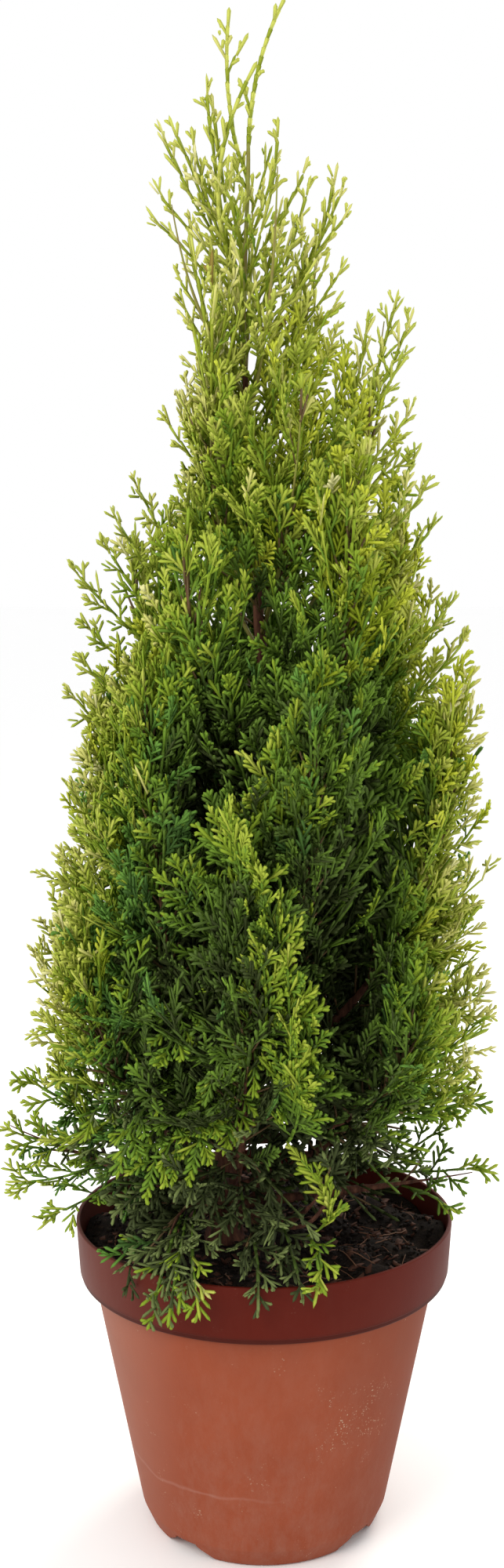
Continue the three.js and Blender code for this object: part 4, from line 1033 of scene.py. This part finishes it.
def raise_bark(piece, lines, sides, relief):
    """Moves the strips and the flakes of the bark into round limbs."""
    corners = corners_of(piece)
    begin = 0
    for places, _ in lines:
        rings = corners[begin:begin + len(places) * sides].reshape(len(places), sides, 3)
        middle = rings.mean(axis=1, keepdims=True)
        steps = np.linalg.norm(np.diff(places, axis=0), axis=1)
        for k, along in enumerate(np.concatenate([[0], np.cumsum(steps)])):
            for j in range(sides):
                turn = 2 * math.pi * j / sides
                x, y = math.cos(turn), math.sin(turn)
                strip = noise.noise(Vector((x * 2.6, y * 2.6, along / 16 + begin)))
                flake = noise.noise(Vector((x * 6.5, y * 6.5, along / 7 + begin)))
                rings[k, j] += (rings[k, j] - middle[k, 0]) * relief * (strip + 0.5 * flake)
        begin += len(places) * sides
    piece.data.vertices.foreach_set("co", corners.ravel())


def tubes(name, lines, resolution, material, relief=0.0):
    """Round limbs along lines of (places, radii) in millimetres."""
    curve = bpy.data.curves.new(name, "CURVE")
    curve.dimensions = "3D"
    curve.bevel_depth = MM
    curve.bevel_resolution = resolution
    for places, radii in lines:
        spline = curve.splines.new("POLY")
        spline.points.add(len(places) - 1)
        spline.points.foreach_set("co", np.column_stack([places * MM, np.ones(len(places))]).ravel())
        spline.points.foreach_set("radius", np.asarray(radii, float))
    piece = bpy.data.objects.new(name, curve)
    bpy.context.scene.collection.objects.link(piece)
    only(piece)
    bpy.ops.object.convert(target="MESH")
    piece = bpy.context.object
    piece.name = name
    if relief:
        raise_bark(piece, lines, 4 + 2 * resolution, relief)
    close_shell(weld=True)
    bpy.ops.object.shade_smooth()
    coat(piece, material)
    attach(piece, "root")
    return piece


def build_wood(twigs):
    bark, green = bark_material(), stem_material()
    young = new_material("young_twig", Base_Color=linear("5f4a2c"), Roughness=0.6, Specular_IOR_Level=0.3)
    heights = np.concatenate([[SOIL_LEVEL - 2], np.arange(SOIL_LEVEL + 0.5, WOODY_TOP, 2.6)])
    radii = trunk_radius(np.maximum(heights, SOIL_LEVEL)) * lerp(1, 0.55, smooth(heights, 420, 690))
    trunk = tubes("trunk_bark", [(trunk_centre(heights), radii)], 18, bark, relief=0.16)
    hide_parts("trunk")

    # Near the top the stem is last year's shoot, thin and still green.
    heights = np.arange(WOODY_TOP - 3, FORK_HEIGHT + 2, 3.0)
    radii = lerp(1.6, 1.15, smooth(heights, WOODY_TOP, FORK_HEIGHT))
    stem = tubes("top_stem", [(trunk_centre(heights), radii)], 4, green, relief=0.2)

    limbs, stems = [], []
    t = np.linspace(0, LIMB_END, 54)
    for plume in PLUMES:
        if plume["kind"] == "shoot":
            continue
        foot, thick = plume["bare"], plume["thick"]
        radii = np.where(t < foot, thick * lerp(1.3, 0.9, t / max(foot, 0.01)),
                         lerp(thick * (0.9 if foot else 1.0), 0.7, (t - foot) / (LIMB_END - foot)))
        if plume["kind"] in ("shoulder", "top"):
            stems.append((bezier(plume["points"], t), np.minimum(radii * 0.5, 1.3)))
        else:
            limbs.append((bezier(plume["points"], t), radii * lerp(1, 0.45, smooth(t, foot, foot + 0.35))))
    t = np.linspace(0, 1, 40)
    limbs.append((bezier(BARE_BOUGH, t), lerp(2.4, 1.0, t)))
    boughs = tubes("bough_bark", limbs, 4, bark, relief=0.2)
    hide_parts(*[name for name in WOOD if name != "trunk"])

    shoots = tubes("young_stems", stems, 3, green, relief=0.15)
    thin = tubes("twigs", twigs, 0, young)


# ---- The pot ----
WALL = 2.4
COLLAR_HEIGHT = 34
COLLAR_DRAFT = 2
FOOT_RADIUS = 75.4
SHOULDER_RADIUS = 104.6
FLOOR = 12.5
NOTCH_TURN = 51
NOTCH_HEIGHT = 8.5
NOTCH_WIDTH = 36
NOTCH_DEPTH = 26
NOTCH_MOUTH, NOTCH_CROWN = 1.1, 0.44  # of its width, at the ground and at its top
OVERCUT, UNDERCUT = 10, 3.0
DRAIN_RADIUS, DRAIN_INSET, DRAIN_LENGTH, DRAIN_HEIGHT = 4, 9, 30, 10
ROUND_STEPS = 144


def rounded(corners):
    """A profile of (radius, height) with its corners rounded: each entry is radius, height and rounding."""
    profile = []
    for k, (r, z, rounding) in enumerate(corners):
        here = np.array([r, z], float)
        if not rounding:
            profile.append(here)
            continue
        before = unit(np.array(corners[k - 1][:2], float) - here)
        after = unit(np.array(corners[k + 1][:2], float) - here)
        half = math.acos(float(np.clip(before @ after, -1, 1))) / 2
        reach = rounding / math.tan(half)
        middle = here + unit(before + after) * rounding / math.sin(half)
        first, last = here + before * reach - middle, here + after * reach - middle
        steps = max(3, int(rounding * 1.2))
        profile += [middle + unit(first * (1 - t) + last * t) * rounding
                    for t in np.linspace(0, 1, steps + 1)]
    return profile


def lathe(name, profile):
    """A round shell: a ring extruded and made wider or narrower from point to point, closed at both ends."""
    radius, height = profile[0]
    bpy.ops.mesh.primitive_circle_add(vertices=ROUND_STEPS, radius=radius * MM, location=(0, 0, height * MM))
    piece = bpy.context.object
    piece.name = name
    bpy.ops.object.transform_apply(location=True)
    bpy.ops.object.mode_set(mode="EDIT")
    bpy.ops.mesh.select_mode(type="EDGE")
    bpy.ops.mesh.select_all(action="SELECT")
    for next_radius, next_height in profile[1:]:
        rise, ratio = (next_height - height) * MM, next_radius / radius
        bpy.ops.mesh.extrude_edges_move(TRANSFORM_OT_translate=dict(value=(0, 0, rise)))
        bpy.ops.transform.resize(value=(ratio, ratio, 1), center_override=(0, 0, 0))
        radius, height = next_radius, next_height
    close_shell()
    return piece


def notch_cutter(turn):
    """A channel under the foot, wide at the ground and narrower above, with S-shaped sides."""
    middle = FOOT_RADIUS - NOTCH_DEPTH / 2 + OVERCUT
    bpy.ops.mesh.primitive_plane_add(size=1, location=(middle * MM, 0, -UNDERCUT * MM))
    cutter = bpy.context.object
    cutter.scale = ((NOTCH_DEPTH + 2 * OVERCUT) * MM, NOTCH_WIDTH * NOTCH_MOUTH * MM, 1)
    bpy.ops.object.transform_apply(location=True, scale=True)
    bpy.ops.object.mode_set(mode="EDIT")
    bpy.ops.mesh.select_all(action="SELECT")
    width, height = NOTCH_WIDTH * NOTCH_MOUTH, -UNDERCUT
    for t in np.linspace(0, 1, 9):
        next_width = lerp(NOTCH_WIDTH, NOTCH_WIDTH * NOTCH_CROWN, (1 - math.cos(t * math.pi)) / 2)
        next_height = NOTCH_HEIGHT * (t if t < 1 else 1.06)
        rise = (next_height - height) * MM
        bpy.ops.mesh.extrude_region_move(TRANSFORM_OT_translate=dict(value=(0, 0, rise)))
        bpy.ops.transform.resize(value=(1, next_width / width, 1), center_override=(0, 0, 0))
        width, height = next_width, next_height
    close_shell()
    cutter.rotation_euler = (0, 0, turn)
    bpy.ops.object.transform_apply(rotation=True)
    return cutter


def drain_cutter(turn):
    middle = FOOT_RADIUS - NOTCH_DEPTH + DRAIN_INSET
    place = (middle * math.cos(turn) * MM, middle * math.sin(turn) * MM, DRAIN_HEIGHT * MM)
    bpy.ops.mesh.primitive_cylinder_add(vertices=24, radius=DRAIN_RADIUS * MM, depth=DRAIN_LENGTH * MM,
                                        location=place)
    bpy.ops.object.transform_apply(location=True)
    return bpy.context.object


def cut(piece, cutter):
    only(piece)
    modifier = piece.modifiers.new("cut", "BOOLEAN")
    modifier.object = cutter
    modifier.solver = "EXACT"
    bpy.ops.object.modifier_apply(modifier=modifier.name)
    bpy.data.objects.remove(cutter)


def pot_plastic(name, light, dark, crease, shine, wear_and_painted_light):
    """Moulded polypropylene, the colour of terracotta: dull where it has weathered, dusty and limed."""
    material = new_material(name, IOR=1.49, Specular_IOR_Level=0.1)
    place = node(material, "TexCoord").outputs["Object"]
    side, _, height = node(material, "SeparateXYZ", dict(Vector=place)).outputs
    clouds = node(material, "TexNoise", dict(Vector=place, Scale=per(45), Detail=5.0, Roughness=0.6))
    base = node(material, "Mix", dict(Factor=clouds, A=linear(light), B=linear(dark)), data_type="RGBA")

    # Dust, wiped upwards and downwards by hands and rain, and thicker towards the foot.
    streaks = node(material, "Mapping", dict(Vector=place, Scale=(1, 1, 0.45)))
    wiped = node(material, "TexNoise", dict(Vector=streaks, Scale=per(11), Detail=8.0, Roughness=0.78))
    lower = node(material, "MapRange", dict(Value=height, From_Min=0.15, From_Max=0, To_Min=0.25))
    film = node(material, "MapRange", dict(Value=wiped, From_Min=0.42, From_Max=0.75, To_Max=wear_and_painted_light))
    dust = node(material, "Math", {0: film, 1: lower}, operation="MULTIPLY")
    # Painted light and shade: one side is paler with a painted sheen where the light falls on it, and the
    # other darker with painted shade.
    lit_side_sheen = node(material, "MapRange", dict(Value=side, From_Min=-0.045, From_Max=-0.1, To_Max=wear_and_painted_light * 1.3))
    # The dust and the painted sheen both pale the plastic towards a pinkish grey.
    pale = node(material, "Math", {0: dust, 1: lit_side_sheen}, operation="MAXIMUM")
    dusty = node(material, "Mix", dict(Factor=pale, A=base, B=linear("9c7a6c")), data_type="RGBA")
    painted_shade_side = node(material, "MapRange", dict(Value=side, From_Min=0.03, From_Max=0.1, To_Max=wear_and_painted_light * 1.3))
    painted_sides = node(material, "Mix", dict(Factor=painted_shade_side, A=dusty, B=linear("5c3022")), data_type="RGBA")

    # The line that standing water left, a little uneven.
    sway = node(material, "TexNoise", dict(Vector=place, Scale=per(30), Detail=2.0))
    level = node(material, "Math", {0: sway, 1: 0.012, 2: height}, operation="MULTIPLY_ADD")
    away = node(material, "Math", {0: level, 1: 0.054}, operation="SUBTRACT")
    off = node(material, "Math", {0: away}, operation="ABSOLUTE")
    line = node(material, "MapRange", dict(Value=off, From_Min=0.0014, From_Max=0.0002, To_Max=wear_and_painted_light * 0.32))
    worn = node(material, "MapRange", dict(Value=side, From_Min=0.02, From_Max=-0.03))
    broken = node(material, "Math", {0: line, 1: worn}, operation="MULTIPLY")
    lined = node(material, "Mix", dict(Factor=broken, A=painted_sides, B=linear("c9a79c")), data_type="RGBA")

    # Specks of dried lime, thickest in one loose patch.
    grains = node(material, "TexVoronoi", dict(Vector=place, Scale=per(1.7), Randomness=1.0))
    speck = node(material, "MapRange", dict(Value=grains, From_Min=0.34, From_Max=0.16))
    patches = node(material, "TexNoise", dict(Vector=place, Scale=per(13), Detail=5.0, Roughness=0.7))
    spot = node(material, "VectorMath", {0: place, 1: (0.058, -0.074, 0.092)}, operation="DISTANCE")
    near = node(material, "MapRange",
                dict(Value=spot, From_Min=0.042, From_Max=0.01, To_Min=-0.03, To_Max=0.12))
    chance = node(material, "Math", {0: patches, 1: near}, operation="ADD")
    patch = node(material, "MapRange", dict(Value=chance, From_Min=0.57, From_Max=0.75, To_Max=wear_and_painted_light * 1.7))
    lime = node(material, "Math", {0: speck, 1: patch}, operation="MULTIPLY")
    limed = node(material, "Mix", dict(Factor=lime, A=lined, B=linear("c4b49a")), data_type="RGBA")

    # Painted shadow along the crease under the collar, on the collar and on the body below it.
    gap = node(material, "Math", {0: height, 1: crease * MM}, operation="SUBTRACT")
    close = node(material, "Math", {0: gap}, operation="ABSOLUTE")
    crease_shadow = node(material, "MapRange",
                dict(Value=close, From_Min=0.0015, From_Max=0.005, To_Min=0.55, To_Max=0))
    crease_shaded = node(material, "Mix", dict(Factor=crease_shadow, A=limed, B=linear("2e130d")), data_type="RGBA")

    gloss = node(material, "MapRange", dict(Value=wiped, To_Min=shine, To_Max=shine + 0.22))
    grain = node(material, "TexNoise", dict(Vector=place, Scale=per(1.2), Detail=2.0))
    bump = node(material, "Bump", dict(Height=grain, Strength=0.12, Distance=0.0004))
    return surface(material, Base_Color=crease_shaded, Roughness=gloss, Normal=bump)


def build_pot():
    collar_foot = POT_HEIGHT - COLLAR_HEIGHT
    collar_radius = RIM_RADIUS - COLLAR_DRAFT
    pot = lathe("pot_shell", rounded([
        (8, 0, 0),
        (70.6, 0, 3.5),
        (FOOT_RADIUS + 0.7, 12, 9),
        (SHOULDER_RADIUS, collar_foot - 0.6, 0),
        (SHOULDER_RADIUS + 1.6, collar_foot - 0.6, 0),
        (SHOULDER_RADIUS + 2.2, collar_foot, 0),
        (collar_radius - 0.8, collar_foot, 1.0),
        (collar_radius - 0.8, collar_foot + 2.6, 0.2),
        (collar_radius, collar_foot + 3.2, 0.4),
        (RIM_RADIUS, POT_HEIGHT, 0.8),
        (RIM_RADIUS - WALL, POT_HEIGHT, 0.8),
        (collar_radius - WALL, collar_foot + WALL, 2),
        (SHOULDER_RADIUS - WALL, collar_foot + WALL, 2),
        (FOOT_RADIUS - WALL + 1, FLOOR, 6),
        (8, FLOOR, 0),
    ]))
    for cutter in (notch_cutter, drain_cutter):
        for k in range(4):
            cut(pot, cutter(math.radians(NOTCH_TURN + 90 * k - 90)))
    coat(pot, pot_plastic("weathered_polypropylene", "954a30", "83412c", collar_foot, 0.55, 0.34),
         pot_plastic("glossy_polypropylene_collar", "5a1608", "4c1106", collar_foot, 0.42, 0.08))
    for face in pot.data.polygons:
        face.material_index = int(face.center.z > (collar_foot - 0.3) * MM)
    only(pot)
    bpy.ops.object.shade_smooth_by_angle(angle=math.radians(40))
    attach(pot, "root")
    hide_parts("pot")


# ---- The soil ----
CHIP = np.array([(-1, -1, -1), (1, -1, -1), (1, 1, -1), (-1, 1, -1), (-1, -1, 1), (1, -1, 1), (1, 1, 1),
                 (-1, 1, 1)], float)
CHIP_FACES = np.array([(0, 3, 2, 1), (4, 5, 6, 7), (0, 1, 5, 4), (1, 2, 6, 5), (2, 3, 7, 6), (3, 0, 4, 7)])
SOIL_EDGE = 108
FIBRE_STEPS = 6


def soil_relief(x, y):
    """The soil's surface: its low lumps, and over them clods and crumbs."""
    clods = noise.fractal(Vector((x / 17, y / 17, 3.7)), 0.9, 2.1, 5)
    return float(soil_height(x, y)) + 2.6 * clods - 0.4


def soil_material():
    """Moist peat and composted bark: nearly black, with red-brown fibre, and no shine but on wet crumbs."""
    material = new_material("potting_mix", Roughness=0.95, Specular_IOR_Level=0.15)
    place = node(material, "TexCoord").outputs["Object"]
    crumbs = node(material, "TexNoise", dict(Vector=place, Scale=per(3.2), Detail=8.0, Roughness=0.75))
    mottle(material, crumbs, (0.38, "120e0c"), (0.56, "241b16"), (0.74, "4a3628"))
    fine = node(material, "TexNoise", dict(Vector=place, Scale=per(1.6), Detail=4.0, Roughness=0.7))
    return surface(material, Normal=node(material, "Bump", dict(Height=fine, Strength=0.8, Distance=0.0012)))


def scattered(rng, count, least=12, most=107):
    """Places spread over the soil: x and y."""
    radius = np.sqrt(rng.uniform((least / most) ** 2, 1, count)) * most
    turn = rng.uniform(0, 2 * math.pi, count)
    return np.column_stack([radius * np.cos(turn), radius * np.sin(turn)])


def chips(name, rng, count, sizes, material):
    """Flakes and crumbs that lie on the soil at all angles, as one joined mesh."""
    blocks = []
    for x, y in scattered(rng, count):
        half = np.array([rng.uniform(*pair) for pair in sizes]) / 2
        shape = CHIP * half * rng.uniform(0.6, 1.2, CHIP.shape)
        turn, tip = rng.uniform(0, 2 * math.pi), rng.normal(0, 0.35)
        along = np.array([math.cos(turn) * math.cos(tip), math.sin(turn) * math.cos(tip), math.sin(tip)])
        side = unit(np.cross(UP, along) + UP * rng.normal(0, 0.3))
        basis = np.stack([along, side, np.cross(along, side)])
        blocks.append(shape @ basis + [x, y, soil_relief(x, y) + half[2] * 0.5])
    piece = mesh_piece(name, np.concatenate(blocks), copies(CHIP_FACES, len(CHIP), count), material)


def fibres(rng, count):
    """Thin bent fibres and straws on the soil, as lines for tubes."""
    lines = []
    for x, y in scattered(rng, count, most=100):
        turn, long = rng.uniform(0, 2 * math.pi), rng.uniform(8, 26)
        heading = turn + rng.normal(0, 0.5) * np.linspace(0, 1, FIBRE_STEPS)
        xs = x + np.cumsum(np.cos(heading)) * long / FIBRE_STEPS
        ys = y + np.cumsum(np.sin(heading)) * long / FIBRE_STEPS
        inside = np.hypot(xs, ys) < SOIL_EDGE
        if inside.sum() < 3:
            continue
        xs, ys = xs[inside], ys[inside]
        zs = np.array([soil_relief(a, b) for a, b in zip(xs, ys)]) + rng.uniform(0.2, 1.4)
        lines.append((np.column_stack([xs, ys, zs]), np.full(len(xs), rng.uniform(0.22, 0.5))))
    return lines


def build_soil():
    inner = RIM_RADIUS - COLLAR_DRAFT - WALL - 0.2
    profile = [(6, FLOOR + 0.2), (FOOT_RADIUS - 8, FLOOR + 0.2), (inner - 10, SOIL_LEVEL - 16),
               (inner, SOIL_LEVEL - 14)]
    profile += [(r, SOIL_LEVEL) for r in np.linspace(2.5, inner, 84)[::-1]]
    soil = lathe("soil_surface", profile)
    corners = corners_of(soil)
    for corner in corners:
        x, y, z = corner / MM
        if abs(z - SOIL_LEVEL) < 0.05:
            corner[2] = soil_relief(x, y) * MM
    soil.data.vertices.foreach_set("co", corners.ravel())
    soil.data.update()
    bpy.ops.object.shade_smooth()
    coat(soil, soil_material())
    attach(soil, "root")
    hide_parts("soil")

    rng = np.random.default_rng(SOIL_SEED)
    crumb = new_material("peat_crumb", Base_Color=linear("1d1612"), Roughness=0.95, Specular_IOR_Level=0.2)
    bark_chip = new_material("composted_bark", Base_Color=linear("4d2f22"), Roughness=0.8,
                             Specular_IOR_Level=0.25)
    straw = new_material("straw_fibre", Base_Color=linear("75503a"), Roughness=0.6, Specular_IOR_Level=0.3)
    chips("soil_crumbs", rng, 1500, [(1.0, 3.4), (0.9, 2.8), (0.8, 2.2)], crumb)
    chips("soil_bark_chips", rng, 420, [(3, 11), (1.6, 4.5), (0.5, 1.4)], bark_chip)
    strands = tubes("soil_fibres", fibres(rng, 130), 0, straw)


# ---- The stage, the light and the camera ----
VIEW_PLACE = (0, -1.010, 0.579)
VIEW_TILT = 83
VIEW_LENS, VIEW_SHIFT = 39.15, -0.00775
WARM_WHITE, SUN_WHITE = (1, 0.98, 0.93), (1, 0.97, 0.88)


def build_stage():
    bpy.ops.mesh.primitive_plane_add(size=60, location=(0, 0, 0))
    floor = bpy.context.object
    floor.name = "floor"
    coat(floor, new_material("pale_floor", Base_Color=linear("fefefe"), Roughness=0.9))
    world = bpy.data.worlds.new("studio")
    world.use_nodes = True
    background = world.node_tree.nodes["Background"]
    background.inputs["Color"].default_value = (1, 1, 1, 1)
    background.inputs["Strength"].default_value = 1.0
    bpy.context.scene.world = world
    bpy.context.scene.view_settings.view_transform = "Standard"


def soft_light(name, place, target, size, power, colour):
    light = bpy.data.lights.new(name, "AREA")
    light.size = size
    light.energy = power
    light.color = colour
    holder = bpy.data.objects.new(name, light)
    bpy.context.scene.collection.objects.link(holder)
    holder.location = place
    holder.rotation_euler = (Vector(target) - Vector(place)).to_track_quat("-Z", "Y").to_euler()


def build_camera():
    camera = bpy.data.objects.new("camera", bpy.data.cameras.new("camera"))
    bpy.context.scene.collection.objects.link(camera)
    camera.location = VIEW_PLACE
    camera.rotation_euler = (math.radians(VIEW_TILT), 0, 0)
    camera.data.lens = VIEW_LENS
    camera.data.sensor_width = 36
    camera.data.shift_x = VIEW_SHIFT
    bpy.context.scene.camera = camera


build_wood(build_foliage())
build_pot()
build_soil()
build_stage()
soft_light("key", (-1.3, -1.5, 1.9), (0, 0, 0.4), 1.2, 26, WARM_WHITE)
soft_light("back", (0.9, 1.4, 1.5), (0, 0, 0.5), 1.0, 22, SUN_WHITE)
build_camera()
